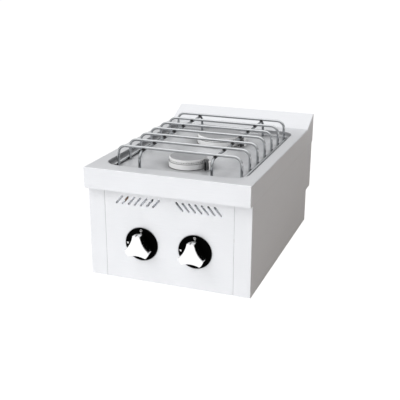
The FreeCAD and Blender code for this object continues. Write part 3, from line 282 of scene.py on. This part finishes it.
low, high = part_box("inlet_fitting")
inlet_face = low.y + INLET_SHANK_LENGTH
stub_end = high.y - inlet_face
mesh = bmesh.new()
turn(mesh, [(INLET_BORE, -INLET_SHANK_LENGTH), (INLET_SHANK, -INLET_SHANK_LENGTH), (INLET_SHANK, 0)])
turn(mesh, [(THREAD_ROOT, INLET_HEX_THICK), (THREAD_ROOT, stub_end - STUB_CHAMFER),
            (THREAD_ROOT - STUB_CHAMFER, stub_end), (INLET_BORE, stub_end),
            (INLET_BORE, -INLET_SHANK_LENGTH)])
hex_low = pierced_face(mesh, polygon(INLET_HEX, HEX_SIDES, 0), polygon(INLET_SHANK, TURN_STEPS, 0))[0]
hex_high = pierced_face(mesh, polygon(INLET_HEX, HEX_SIDES, INLET_HEX_THICK),
                        polygon(THREAD_ROOT, TURN_STEPS, INLET_HEX_THICK))[0]
bmesh.ops.bridge_loops(mesh, edges=hex_low + hex_high)
ridge = [(THREAD_ROOT - THREAD_SUNK, 0, 0), (THREAD_CREST, 0, THREAD_PITCH / 2),
         (THREAD_ROOT - THREAD_SUNK, 0, THREAD_PITCH)]
verts, edges = draw_outline(mesh, ridge, closed=True)
bmesh.ops.translate(mesh, verts=verts, vec=(0, 0, INLET_HEX_THICK))
bmesh.ops.spin(mesh, geom=verts + edges, cent=(0, 0, 0), axis=(0, 0, 1), angle=THREAD_TURNS * FULL_TURN,
               steps=THREAD_TURNS * TURN_STEPS, dvec=(0, 0, THREAD_PITCH / TURN_STEPS))
place = Vector(((low.x + high.x) / 2, inlet_face, (low.z + high.z) / 2))
bmesh.ops.transform(mesh, matrix=Matrix.Translation(place) @ ALONG_Y, verts=mesh.verts)
make_piece("inlet_fitting_threaded", mesh, brass, "root", ["inlet_fitting"])

# Screws: four through the rubber feet and four in the back panel, pan heads with a cross recess. Zinc plated
# steel: one is turned and its recess sunk, then it is set in each place.
SCREW_SHANK = 2 * MM
SCREW_LENGTH = 9 * MM
HEAD_RADIUS = 4 * MM
HEAD_HEIGHT = 2.4 * MM
HEAD_SIDE = 0.6 * HEAD_HEIGHT
HEAD_SHOULDER = (0.93 * HEAD_RADIUS, 0.85 * HEAD_HEIGHT)
HEAD_FLAT = 2.9 * MM
CROSS_REACH = 2 * MM
CROSS_HALF = 0.45 * MM
CROSS_DEPTH = 1.3 * MM
FOOT_POCKET = 5 * MM
REAR_SCREW_LOW = 112 * MM
FEET = ("foot_front_left", "foot_front_right", "foot_rear_left", "foot_rear_right")


def points_of(geometry):
    """The points among what an operator made."""
    return [part for part in geometry if isinstance(part, bmesh.types.BMVert)]


mesh = bmesh.new()
turn(mesh, [(0, -SCREW_LENGTH), (SCREW_SHANK, -SCREW_LENGTH), (SCREW_SHANK, 0), (HEAD_RADIUS, 0),
            (HEAD_RADIUS, HEAD_SIDE), HEAD_SHOULDER, (HEAD_FLAT, HEAD_HEIGHT)])
corner = [(CROSS_REACH, CROSS_HALF), (CROSS_HALF, CROSS_HALF), (CROSS_HALF, CROSS_REACH)]
cross = [(*(Matrix.Rotation(math.radians(90 * quarter), 2) @ Vector(point)), HEAD_HEIGHT)
         for quarter in range(4) for point in corner]
recess = pierced_face(mesh, polygon(HEAD_FLAT, TURN_STEPS, HEAD_HEIGHT), cross)[1]
grown = bmesh.ops.extrude_edge_only(mesh, edges=recess)["geom"]
sunk = points_of(grown)
bmesh.ops.translate(mesh, verts=sunk, vec=(0, 0, -CROSS_DEPTH))
bmesh.ops.contextual_create(mesh, geom=[edge for edge in edges_of(grown) if set(edge.verts) <= set(sunk)])
screw_data = bpy.data.meshes.new("screw")
mesh.to_mesh(screw_data)
mesh.free()

screw_places = []
for foot in FEET:
    low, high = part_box(foot)
    seat = Vector(((low.x + high.x) / 2, (low.y + high.y) / 2, low.z + FOOT_POCKET))
    screw_places.append(Matrix.Translation(seat) @ Matrix.Rotation(math.radians(180), 4, "X"))
low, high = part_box("screws")
for x in (low.x + HEAD_RADIUS, high.x - HEAD_RADIUS):
    for z in (REAR_SCREW_LOW, high.z - HEAD_RADIUS):
        screw_places.append(Matrix.Translation((x, high.y - HEAD_HEIGHT, z)) @ ALONG_Y)
mesh = bmesh.new()
for place in screw_places:
    before = set(mesh.verts)
    mesh.from_mesh(screw_data)
    bmesh.ops.transform(mesh, matrix=place, verts=list(set(mesh.verts) - before))
make_piece("cross_screws", mesh, zinc, "root", ["screws"])
bpy.data.meshes.remove(screw_data)

# Rubber feet: four tapered buffers under the corners of the bottom tray. Black moulded rubber, each held by
# a screw in its pocket.
rubber = new_finish("foot_rubber", (0.02, 0.02, 0.02), 0, 0.75, 0.3)
roughen(rubber, 2 * MM, 0.65, 0.85)
for node in FEET:
    dress(node, rubber)

# Burners: a cast alloy cup pressed through the pan, a crown with drilled flame ports and a turned cap with a
# bright rim; the crown and the cap lift off for cleaning. A pilot and a sooty thermocouple stand beside each
# behind a dark enamelled shield.
CAP_TOP = 0.9
SECOND_FINISH = 1

alloy = new_finish("burner_alloy", (0.95, 0.95, 0.95), 0.1, 0.5)
skin = grain(alloy, 1.2 * MM)
feed(alloy, "Roughness", spread(alloy, skin, 0.45, 0.55))
cloud(alloy, 18 * MM, (0.93, 0.93, 0.93), (0.97, 0.97, 0.97))
relief(alloy, skin, 0.01 * MM)

crown_alloy = new_finish("crown_alloy", (0.98, 0.98, 0.98), 0.05, 0.5)
roughen(crown_alloy, 2 * MM, 0.4, 0.6)

cap_alloy = new_finish("cap_alloy", (0.42, 0.425, 0.44), 1, 0.5)
roughen(cap_alloy, 9 * MM, 0.45, 0.58)
cloud(cap_alloy, 14 * MM, (0.55, 0.555, 0.57), (0.61, 0.615, 0.63))

shield_enamel = new_finish("shield_enamel", (0.14, 0.14, 0.143), 0, 0.5)
roughen(shield_enamel, 3 * MM, 0.4, 0.65)

sooty = new_finish("sooty_steel", (0.03, 0.03, 0.032), 1, 0.5)
roughen(sooty, 2 * MM, 0.4, 0.65)

for place in ("front", "rear"):
    dress(f"burner_cup_{place}", alloy)
    dress(f"burner_crown_{place}", crown_alloy)
    dress(f"burner_cap_{place}", cap_alloy)
    dress(f"pilot_burner_{place}", alloy)
    dress(f"thermocouple_{place}", sooty)
    dress(f"pilot_shield_{place}", shield_enamel)
    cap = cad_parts[f"burner_cap_{place}"].data
    cap.materials.append(crown_alloy)
    for face in cap.polygons:
        if face.normal.z < CAP_TOP:
            face.material_index = SECOND_FINISH

# Flame ports: drilled through each crown, their walls black with soot. A port's walls are the faces inside
# the crown's skin that look sideways, neither out from its middle nor straight up or down.
CROWN_SKIN = 0.4 * MM
LOOKS_OUT = 0.7
LIES_FLAT = 0.1
for place in ("front", "rear"):
    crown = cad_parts[f"burner_crown_{place}"].data
    crown.materials.append(sooty)
    low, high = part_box(f"burner_crown_{place}")
    centre = (low + high) / 2
    outside = (high.x - low.x) / 2
    for face in crown.polygons:
        out = face.center - centre
        out.z = 0
        sideways = abs(face.normal.dot(out.normalized())) < LOOKS_OUT
        in_wall = out.length < outside - CROWN_SKIN and abs(face.center.z - high.z) > CROWN_SKIN
        if sideways and in_wall and face.normal.xy.length > LIES_FLAT:
            face.material_index = SECOND_FINISH

# Burner beads: a black bead round the foot of each ring and one at the joint under each crown, painted
# shade lines. Both are round beads bent into rings, and they stay on the pan when the crown lifts.
RING_HEIGHT = 13 * MM
FOOT_BEAD = 0.7 * MM
FOOT_BEAD_SUNK = 0.4 * FOOT_BEAD
JOINT = 0.6 * MM
JOINT_OUT = 1.1 * JOINT
JOINT_UP = 0.4 * JOINT
BEAD_SIDES = 12
RING_STEPS = 3 * TURN_STEPS
UPRIGHT = Matrix.Rotation(math.radians(90), 4, "X")
# Painted shade: the beads' black stands for the shade lines at the foot of each ring and under each crown.
shade_bead_black = new_finish("black_enamel", (0.02, 0.02, 0.02), 0, 0.45)
roughen(shade_bead_black, 3 * MM, 0.35, 0.6)


def edges_at(verts):
    """The edges that meet at the points, each once."""
    return list(dict.fromkeys(edge for vert in verts for edge in vert.link_edges))


def add_bead_ring(mesh, radius, height, thickness):
    """A round bead bent into a ring about the upright axis."""
    bead = bmesh.ops.create_circle(mesh, radius=thickness, segments=BEAD_SIDES,
                                   matrix=Matrix.Translation((radius, 0, height)) @ UPRIGHT)["verts"]
    bmesh.ops.spin(mesh, geom=bead + edges_at(bead), cent=(0, 0, 0), axis=(0, 0, 1), angle=FULL_TURN,
                   steps=RING_STEPS, use_merge=True)


for place in ("front", "rear"):
    cup_low, cup_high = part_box(f"burner_cup_{place}")
    crown_low, crown_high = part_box(f"burner_crown_{place}")
    cup_radius = (cup_high.x - cup_low.x) / 2
    crown_radius = (crown_high.x - crown_low.x) / 2
    mesh = bmesh.new()
    add_bead_ring(mesh, cup_radius - FOOT_BEAD_SUNK, cup_high.z - RING_HEIGHT + FOOT_BEAD_SUNK, FOOT_BEAD)
    add_bead_ring(mesh, crown_radius + JOINT_OUT, cup_high.z + JOINT_UP, JOINT)
    middle = (crown_low + crown_high) / 2
    bmesh.ops.translate(mesh, verts=mesh.verts, vec=(middle.x, middle.y, 0))
    make_piece(f"burner_shade_beads_{place}", mesh, shade_bead_black, "root")

# Wire grate: seven bent cross wires over two bent rails, tied at the feet by a straight wire along each
# side. Chrome plated steel wire, cold bent, its cut ends eased. The wires hold painted shade on their
# undersides, and the rails are painted darker, darkest beside each cross wire, for the shade and dark
# reflections the cross wires put on them.
LOOKS_UP = "looks_up"
SHADED_BELOW = -0.5
UNSHADED_ABOVE = 0.4
UNDERSIDE_SHADE_SHARE = 0.4
CROSSING_SHADE_REACH = 14 * MM
CROSSING_SHADE_CORE = 0.4
WIRE_SIDES = 20
WIRE_BEND = 19 * MM
BEND_STEPS = 12
END_EASE = 0.35


def paint_underside_shade(material):
    """Paints shade into a wire's colour where it looks down."""
    looks = material.node_tree.nodes.new("ShaderNodeAttribute")
    looks.attribute_name = LOOKS_UP
    paint_shade(material, spread(material, looks.outputs["Fac"], UNDERSIDE_SHADE_SHARE, 1, SHADED_BELOW, UNSHADED_ABOVE))


def mark_underside(wire):
    """Keeps on each point of a wire how far it looks up, from minus one to one."""
    looks = wire.data.attributes.new(LOOKS_UP, "FLOAT", "POINT")
    looks.data.foreach_set("value", [vert.normal.z for vert in wire.data.vertices])


def beside_welds(material, first, pitch):
    """One at the welds, which stand along Y at the given pitch, fading to nothing where the painted shade
    ends.
    """
    nodes = material.node_tree.nodes
    links = material.node_tree.links
    coordinates = nodes.new("ShaderNodeTexCoord")
    split = nodes.new("ShaderNodeSeparateXYZ")
    links.new(coordinates.outputs["Object"], split.inputs["Vector"])
    offset = nodes.new("ShaderNodeMath")
    offset.operation = "SUBTRACT"
    offset.inputs[1].default_value = first
    links.new(split.outputs["Y"], offset.inputs[0])
    nearest = nodes.new("ShaderNodeMath")
    nearest.operation = "PINGPONG"
    nearest.inputs[1].default_value = pitch / 2
    links.new(offset.outputs["Value"], nearest.inputs[0])
    return spread(material, nearest.outputs["Value"], 1, 0, CROSSING_SHADE_CORE * CROSSING_SHADE_REACH, CROSSING_SHADE_REACH)


def draw_wire(mesh, radius, place, legs):
    """A round wire from place, through straight legs (a vector) and bends (centre, axis, angle)."""
    aim = legs[0].to_track_quat("Z", "Y").to_matrix().to_4x4()
    start = bmesh.ops.create_circle(mesh, cap_ends=True, radius=radius, segments=WIRE_SIDES,
                                    matrix=Matrix.Translation(place) @ aim)
    first = edges_at(start["verts"])
    rim = first
    for leg in legs:
        if isinstance(leg, Vector):
            grown = bmesh.ops.extrude_edge_only(mesh, edges=rim)["geom"]
            ends = points_of(grown)
            bmesh.ops.translate(mesh, verts=ends, vec=leg)
            rim = [edge for edge in edges_of(grown) if set(edge.verts) <= set(ends)]
        else:
            centre, axis, angle = leg
            swung = bmesh.ops.spin(mesh, geom=rim, cent=centre, axis=axis, angle=angle, steps=BEND_STEPS)
            rim = edges_of(swung["geom_last"])
    bmesh.ops.contextual_create(mesh, geom=rim)
    bmesh.ops.bevel(mesh, geom=first + rim, offset=END_EASE * radius, affect="EDGES", segments=3, profile=0.5,
                    material=-1)


def arch_legs(low, high, along, radius):
    """Start, and legs up, over and down, of a wire bent into an arch that fills the box along one axis."""
    foot = (low + high) / 2
    foot[along] = low[along] + radius
    foot.z = low.z
    up = Vector((0, 0, high.z - radius - WIRE_BEND - low.z))
    over = Vector()
    over[along] = high[along] - low[along] - 2 * radius - 2 * WIRE_BEND
    axis = Vector((0, 0, 1)).cross(over).normalized()
    first_bend = foot + up + over.normalized() * WIRE_BEND
    second_bend = first_bend + over
    quarter = math.radians(90)
    return foot, [up, (first_bend, axis, quarter), over, (second_bend, axis, quarter), -up]


chrome = new_finish("chrome_wire", (0.64, 0.66, 0.68), 1, 0.18)
plate = grain(chrome, 9 * MM)
feed(chrome, "Roughness", spread(chrome, plate, 0.14, 0.24))
tint(chrome, spread(chrome, plate, 0, 1), (0.68, 0.7, 0.72), (0.75, 0.77, 0.79))
paint_underside_shade(chrome)

hoops = sorted(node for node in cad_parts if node.startswith("grate_hoop"))
rails = ("grate_rail_left", "grate_rail_right")
first_low, first_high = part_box(hoops[0])
last_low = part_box(hoops[-1])[0]
hoop_first = (first_low.y + first_high.y) / 2
hoop_pitch = (last_low.y - first_low.y) / (len(hoops) - 1)
# Rails: painted shade and dark reflection in their colour, a darker grey all along, near black beside each
# cross wire.
rail_shade_finish = new_finish("rail_wire_painted_shade", (0.5, 0.52, 0.54), 1, 0.22)
near_crossing = beside_welds(rail_shade_finish, hoop_first, hoop_pitch)
tint(rail_shade_finish, near_crossing, (0.5, 0.52, 0.54), (0.05, 0.05, 0.055))
feed(rail_shade_finish, "Roughness", spread(rail_shade_finish, near_crossing, 0.2, 0.4, 0, 1))
paint_underside_shade(rail_shade_finish)

wire_radius = (first_high.y - first_low.y) / 2
for node, along in [(hoop, 0) for hoop in hoops] + [(rail, 1) for rail in rails]:
    mesh = bmesh.new()
    foot, legs = arch_legs(*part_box(node), along, wire_radius)
    draw_wire(mesh, wire_radius, foot, legs)
    wire = make_piece(f"{node}_wire", mesh, rail_shade_finish if along else chrome, "grate", [node])
    mark_underside(wire)

rods_low, rods_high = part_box("grate_side_rods")
rod_places = (rods_low.x + wire_radius, rods_high.x - wire_radius)
mesh = bmesh.new()
for x in rod_places:
    start = Vector((x, rods_low.y, rods_low.z + wire_radius))
    draw_wire(mesh, wire_radius, start, [Vector((0, rods_high.y - rods_low.y, 0))])
rods = make_piece("grate_side_rods_wire", mesh, chrome, "grate", ["grate_side_rods"])
mark_underside(rods)

# Welds of the grate: a flat bead where each cross wire lies on a rail and where each leg meets a side wire.
# Spot welded and darkened by the heat, their near black also painted shade where the wires cross. The
# beads' half lengths are in wire radii.
RAIL_BEAD = Vector((1.05, 1.9, 0.75))
LEG_BEAD = Vector((0.75, 1.3, 1.05))
heat_tint_and_shade = new_finish("heat_tint_and_shade", (0.05, 0.05, 0.055), 1, 0.45)
scale = grain(heat_tint_and_shade, 1.5 * MM)
tint(heat_tint_and_shade, spread(heat_tint_and_shade, scale, 0, 1), (0.03, 0.03, 0.035), (0.09, 0.085, 0.08))
relief(heat_tint_and_shade, scale, 0.1 * MM)


def add_bead(mesh, place, size):
    """A rounded bead of the given half lengths."""
    bmesh.ops.create_uvsphere(mesh, u_segments=16, v_segments=8, radius=1,
                              matrix=Matrix.Translation(place) @ Matrix.Diagonal((*size, 1)))


mesh = bmesh.new()
for hoop in hoops:
    low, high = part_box(hoop)
    along = (low.y + high.y) / 2
    for rail in rails:
        rail_low, rail_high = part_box(rail)
        crossing = Vector(((rail_low.x + rail_high.x) / 2, along, rail_high.z))
        add_bead(mesh, crossing, RAIL_BEAD * wire_radius)
    for rod, leg in zip(rod_places, (low.x + wire_radius, high.x - wire_radius)):
        meeting = Vector(((rod + leg) / 2, along, rods_high.z - wire_radius))
        add_bead(mesh, meeting, LEG_BEAD * wire_radius)
make_piece("grate_welds", mesh, heat_tint_and_shade, "grate")

# Dial plates and knobs: black enamelled discs on the control panel, and three-lobed plated knobs on the
# valve spindles, each with a pointer notch at the top.
dial_black = new_finish("dial_black", (0.001, 0.001, 0.001), 0, 0.5, 0.01)
roughen(dial_black, 5 * MM, 0.45, 0.55)
knob_chrome = new_finish("knob_chrome", (0.96, 0.96, 0.965), 1, 0.12)
roughen(knob_chrome, 7 * MM, 0.09, 0.16)
for side in ("left", "right"):
    dress(f"bezel_{side}", dial_black)
    dress(f"knob_{side}", knob_chrome)

# Dial marks: a dot with a fine ring for off and a slanted flame for lit, on each dial plate. Printed in
# white, each mark as thick as its ink.
MARK_RADIUS = 34 * MM
INK = 0.04 * MM
DOT = 1.9 * MM
RING = 3.2 * MM
RING_LINE = 0.8 * MM
FLAME = 2.3 * MM
FLAME_TIP = 5.5 * MM
FLAME_ANGLE = math.radians(90)
FLAME_SLANT = math.radians(-30)
print_white = new_finish("print_white", (0.8, 0.8, 0.8), 0, 0.6)
roughen(print_white, 3 * MM, 0.5, 0.7)


def add_ink(mesh, faces):
    """Raises a printed shape off the plate by the thickness of the ink."""
    grown = bmesh.ops.extrude_face_region(mesh, geom=faces)["geom"]
    bmesh.ops.translate(mesh, verts=points_of(grown), vec=(0, -INK, 0))


def disc(mesh, radius, matrix):
    """A flat disc: its points and its face."""
    made = bmesh.ops.create_circle(mesh, cap_ends=True, radius=radius, segments=TURN_STEPS, matrix=matrix)
    return made["verts"], list({face for vert in made["verts"] for face in vert.link_faces})


for side in ("left", "right"):
    low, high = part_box(f"bezel_{side}")
    middle = (low + high) / 2
    face_on = Matrix.Translation((middle.x, low.y, middle.z)) @ UPRIGHT
    mesh = bmesh.new()
    top = face_on @ Matrix.Translation((0, MARK_RADIUS, 0))
    add_ink(mesh, disc(mesh, DOT, top @ Matrix.Translation((0, -DOT, 0)))[1])
    ring = disc(mesh, RING, top)[1]
    bmesh.ops.inset_individual(mesh, faces=ring, thickness=RING_LINE)
    rim = list({near for edge in ring[0].edges for near in edge.link_faces} - set(ring))
    bmesh.ops.delete(mesh, geom=ring, context="FACES_ONLY")
    add_ink(mesh, rim)
    lit = face_on @ Matrix.Rotation(FLAME_ANGLE, 4, "Z") @ Matrix.Translation((0, MARK_RADIUS, 0))
    slant = lit @ Matrix.Rotation(FLAME_SLANT, 4, "Z")
    points, flame = disc(mesh, FLAME, slant)
    tip = max(points, key=lambda vert: (slant.inverted() @ vert.co).y)
    tip.co = slant @ Vector((0, FLAME_TIP, 0))
    add_ink(mesh, flame)
    make_piece(f"dial_marks_{side}", mesh, print_white, "root")

# Studio: a white floor that keeps a faint shadow of the stove, a pale dome that is brighter overhead, a wide
# lamp above, a lamp at the front left that reflections don't see, and a small lamp inside the box for the
# vents. The camera stands where the photograph was taken.
CAMERA_PLACE = Vector((611.68, -1719.73, 761.35)) * MM
CAMERA_YAW = math.radians(20.33)
CAMERA_PITCH = math.radians(19.11)
CAMERA_ROLL = math.radians(0.17)
FOCAL_PIXELS = 740.31
PICTURE_PIXELS = 400
SENSOR_WIDTH = 36

lens = bpy.data.cameras.new("camera")
lens.sensor_width = SENSOR_WIDTH
lens.lens = FOCAL_PIXELS / PICTURE_PIXELS * SENSOR_WIDTH
camera = bpy.data.objects.new("camera", lens)
look = (Matrix.Rotation(CAMERA_YAW, 4, "Z") @ Matrix.Rotation(math.radians(90) - CAMERA_PITCH, 4, "X")
        @ Matrix.Rotation(CAMERA_ROLL, 4, "Z"))
camera.matrix_world = Matrix.Translation(CAMERA_PLACE) @ look
bpy.context.scene.collection.objects.link(camera)
bpy.context.scene.camera = camera
bpy.context.scene.view_settings.view_transform = "Standard"

FLOOR_SIZE = 40
FLOOR_TONE = 0.85
FLOOR_GLOW = 1.08
FLOOR_GLOW_SEEN = 0.97


def lay_sheet(name, place, width, depth):
    """A flat sheet of the studio, no part of the stove."""
    sheet_mesh = bmesh.new()
    bmesh.ops.create_grid(sheet_mesh, x_segments=1, y_segments=1, size=0.5,
                          matrix=Matrix.Translation(place) @ Matrix.Diagonal((width, depth, 1, 1)))
    data = bpy.data.meshes.new(name)
    sheet_mesh.to_mesh(data)
    sheet_mesh.free()
    sheet = bpy.data.objects.new(name, data)
    bpy.context.scene.collection.objects.link(sheet)
    return sheet


def ray_share(tree, camera_share, glossy_share, other_share):
    """A value that depends on what looks at the surface: the camera, a reflection, or scattered light."""
    path = tree.nodes.new("ShaderNodeLightPath")
    mirrored = tree.nodes.new("ShaderNodeMath")
    mirrored.operation = "MAXIMUM"
    tree.links.new(path.outputs["Is Glossy Ray"], mirrored.inputs[0])
    tree.links.new(path.outputs["Is Transmission Ray"], mirrored.inputs[1])
    glossy = tree.nodes.new("ShaderNodeMix")
    glossy.inputs["A"].default_value = other_share
    glossy.inputs["B"].default_value = glossy_share
    tree.links.new(mirrored.outputs["Value"], glossy.inputs["Factor"])
    seen = tree.nodes.new("ShaderNodeMix")
    seen.inputs["B"].default_value = camera_share
    tree.links.new(path.outputs["Is Camera Ray"], seen.inputs["Factor"])
    tree.links.new(glossy.outputs["Result"], seen.inputs["A"])
    return seen.outputs["Result"]


floor = lay_sheet("floor", (0, 0, 0), FLOOR_SIZE, FLOOR_SIZE)
paper = bpy.data.materials.new("floor_paper")
paper.use_nodes = True
paper_tree = paper.node_tree
paper_tree.nodes.clear()
matt = paper_tree.nodes.new("ShaderNodeBsdfDiffuse")
matt.inputs["Color"].default_value = (FLOOR_TONE, FLOOR_TONE, FLOOR_TONE, 1)
glow = paper_tree.nodes.new("ShaderNodeEmission")
glow.inputs["Strength"].default_value = FLOOR_GLOW
both = paper_tree.nodes.new("ShaderNodeMixShader")
paper_out = paper_tree.nodes.new("ShaderNodeOutputMaterial")
glow_share = ray_share(paper_tree, camera_share=FLOOR_GLOW_SEEN, glossy_share=1, other_share=0)
paper_tree.links.new(glow_share, both.inputs["Fac"])
paper_tree.links.new(matt.outputs["BSDF"], both.inputs[1])
paper_tree.links.new(glow.outputs["Emission"], both.inputs[2])
from_below = paper_tree.nodes.new("ShaderNodeMixShader")
side_seen = paper_tree.nodes.new("ShaderNodeNewGeometry")
clear = paper_tree.nodes.new("ShaderNodeBsdfTransparent")
paper_tree.links.new(side_seen.outputs["Backfacing"], from_below.inputs["Fac"])
paper_tree.links.new(both.outputs["Shader"], from_below.inputs[1])
paper_tree.links.new(clear.outputs["BSDF"], from_below.inputs[2])
paper_tree.links.new(from_below.outputs["Shader"], paper_out.inputs["Surface"])
floor.data.materials.append(paper)

# A grey card that only the metal sees lies beside the stove, so that its right side doesn't vanish into
# the white.
CARD_PLACE = (0.848, 0.4, 0.002)
CARD_WIDTH = 1.3
CARD_DEPTH = 2.8
CARD_COLOUR = (1, 0.92, 0.85, 1)
CARD_GLOW = 0.35
card = lay_sheet("grey_card", CARD_PLACE, CARD_WIDTH, CARD_DEPTH)
card.visible_camera = False
card.visible_diffuse = False
card.visible_shadow = False
card_grey = bpy.data.materials.new("card_grey")
card_grey.use_nodes = True
card_tree = card_grey.node_tree
card_tree.nodes.clear()
card_glow = card_tree.nodes.new("ShaderNodeEmission")
card_glow.inputs["Color"].default_value = CARD_COLOUR
card_glow.inputs["Strength"].default_value = CARD_GLOW
card_out = card_tree.nodes.new("ShaderNodeOutputMaterial")
card_tree.links.new(card_glow.outputs["Emission"], card_out.inputs["Surface"])
card.data.materials.append(card_grey)

# The dome: white to the camera, and for the metal brighter overhead than round the horizon.
BRIGHT_SIDE = Vector((-0.1, 0, 1)).normalized()
DOME_DARK = 0.35
DOME_LIGHT = 1.07
DOME_DARK_BELOW = 0.17
DOME_LIGHT_ABOVE = 0.9
DOME_FOR_SCATTER = 0.35
world = bpy.data.worlds.new("dome")
bpy.context.scene.world = world
world.use_nodes = True
sky = world.node_tree
backdrop = sky.nodes["Background"]
toward = sky.nodes.new("ShaderNodeTexCoord")
facing = sky.nodes.new("ShaderNodeVectorMath")
facing.operation = "DOT_PRODUCT"
facing.inputs[1].default_value = BRIGHT_SIDE
sky.links.new(toward.outputs["Generated"], facing.inputs[0])
shade = sky.nodes.new("ShaderNodeMapRange")
shade.interpolation_type = "SMOOTHSTEP"
shade.inputs["From Min"].default_value = DOME_DARK_BELOW
shade.inputs["From Max"].default_value = DOME_LIGHT_ABOVE
shade.inputs["To Min"].default_value = DOME_DARK
shade.inputs["To Max"].default_value = DOME_LIGHT
sky.links.new(facing.outputs["Value"], shade.inputs["Value"])
level = sky.nodes.new("ShaderNodeMix")
level.inputs["A"].default_value = 1
sky.links.new(ray_share(sky, camera_share=0, glossy_share=1, other_share=1), level.inputs["Factor"])
sky.links.new(shade.outputs["Result"], level.inputs["B"])
strength = sky.nodes.new("ShaderNodeMath")
strength.operation = "MULTIPLY"
sky.links.new(level.outputs["Result"], strength.inputs[0])
dome_share = ray_share(sky, camera_share=1, glossy_share=1, other_share=DOME_FOR_SCATTER)
sky.links.new(dome_share, strength.inputs[1])
sky.links.new(strength.outputs["Value"], backdrop.inputs["Strength"])
backdrop.inputs["Color"].default_value = (1, 1, 1, 1)

STOVE_MIDDLE = Vector((0, 0, 0.15))


def soft_lamp(name, place, size, power, target=STOVE_MIDDLE):
    """A square lamp that faces the target."""
    lamp = bpy.data.lights.new(name, "AREA")
    lamp.size = size
    lamp.energy = power
    stand = bpy.data.objects.new(name, lamp)
    aim = (target - place).to_track_quat("-Z", "Y").to_matrix().to_4x4()
    stand.matrix_world = Matrix.Translation(place) @ aim
    bpy.context.scene.collection.objects.link(stand)
    return stand


soft_lamp("top_lamp", Vector((-0.6, -1.5, 3.2)), size=3, power=3.5)
key_lamp = soft_lamp("key_lamp", Vector((-1.6, -2.6, 3.2)), size=3.2, power=160)
key_lamp.visible_glossy = False
soft_lamp("inside_lamp", Vector((0, -0.2, 0.22)), size=0.04, power=0.5, target=Vector((0, 0.2, 0)))
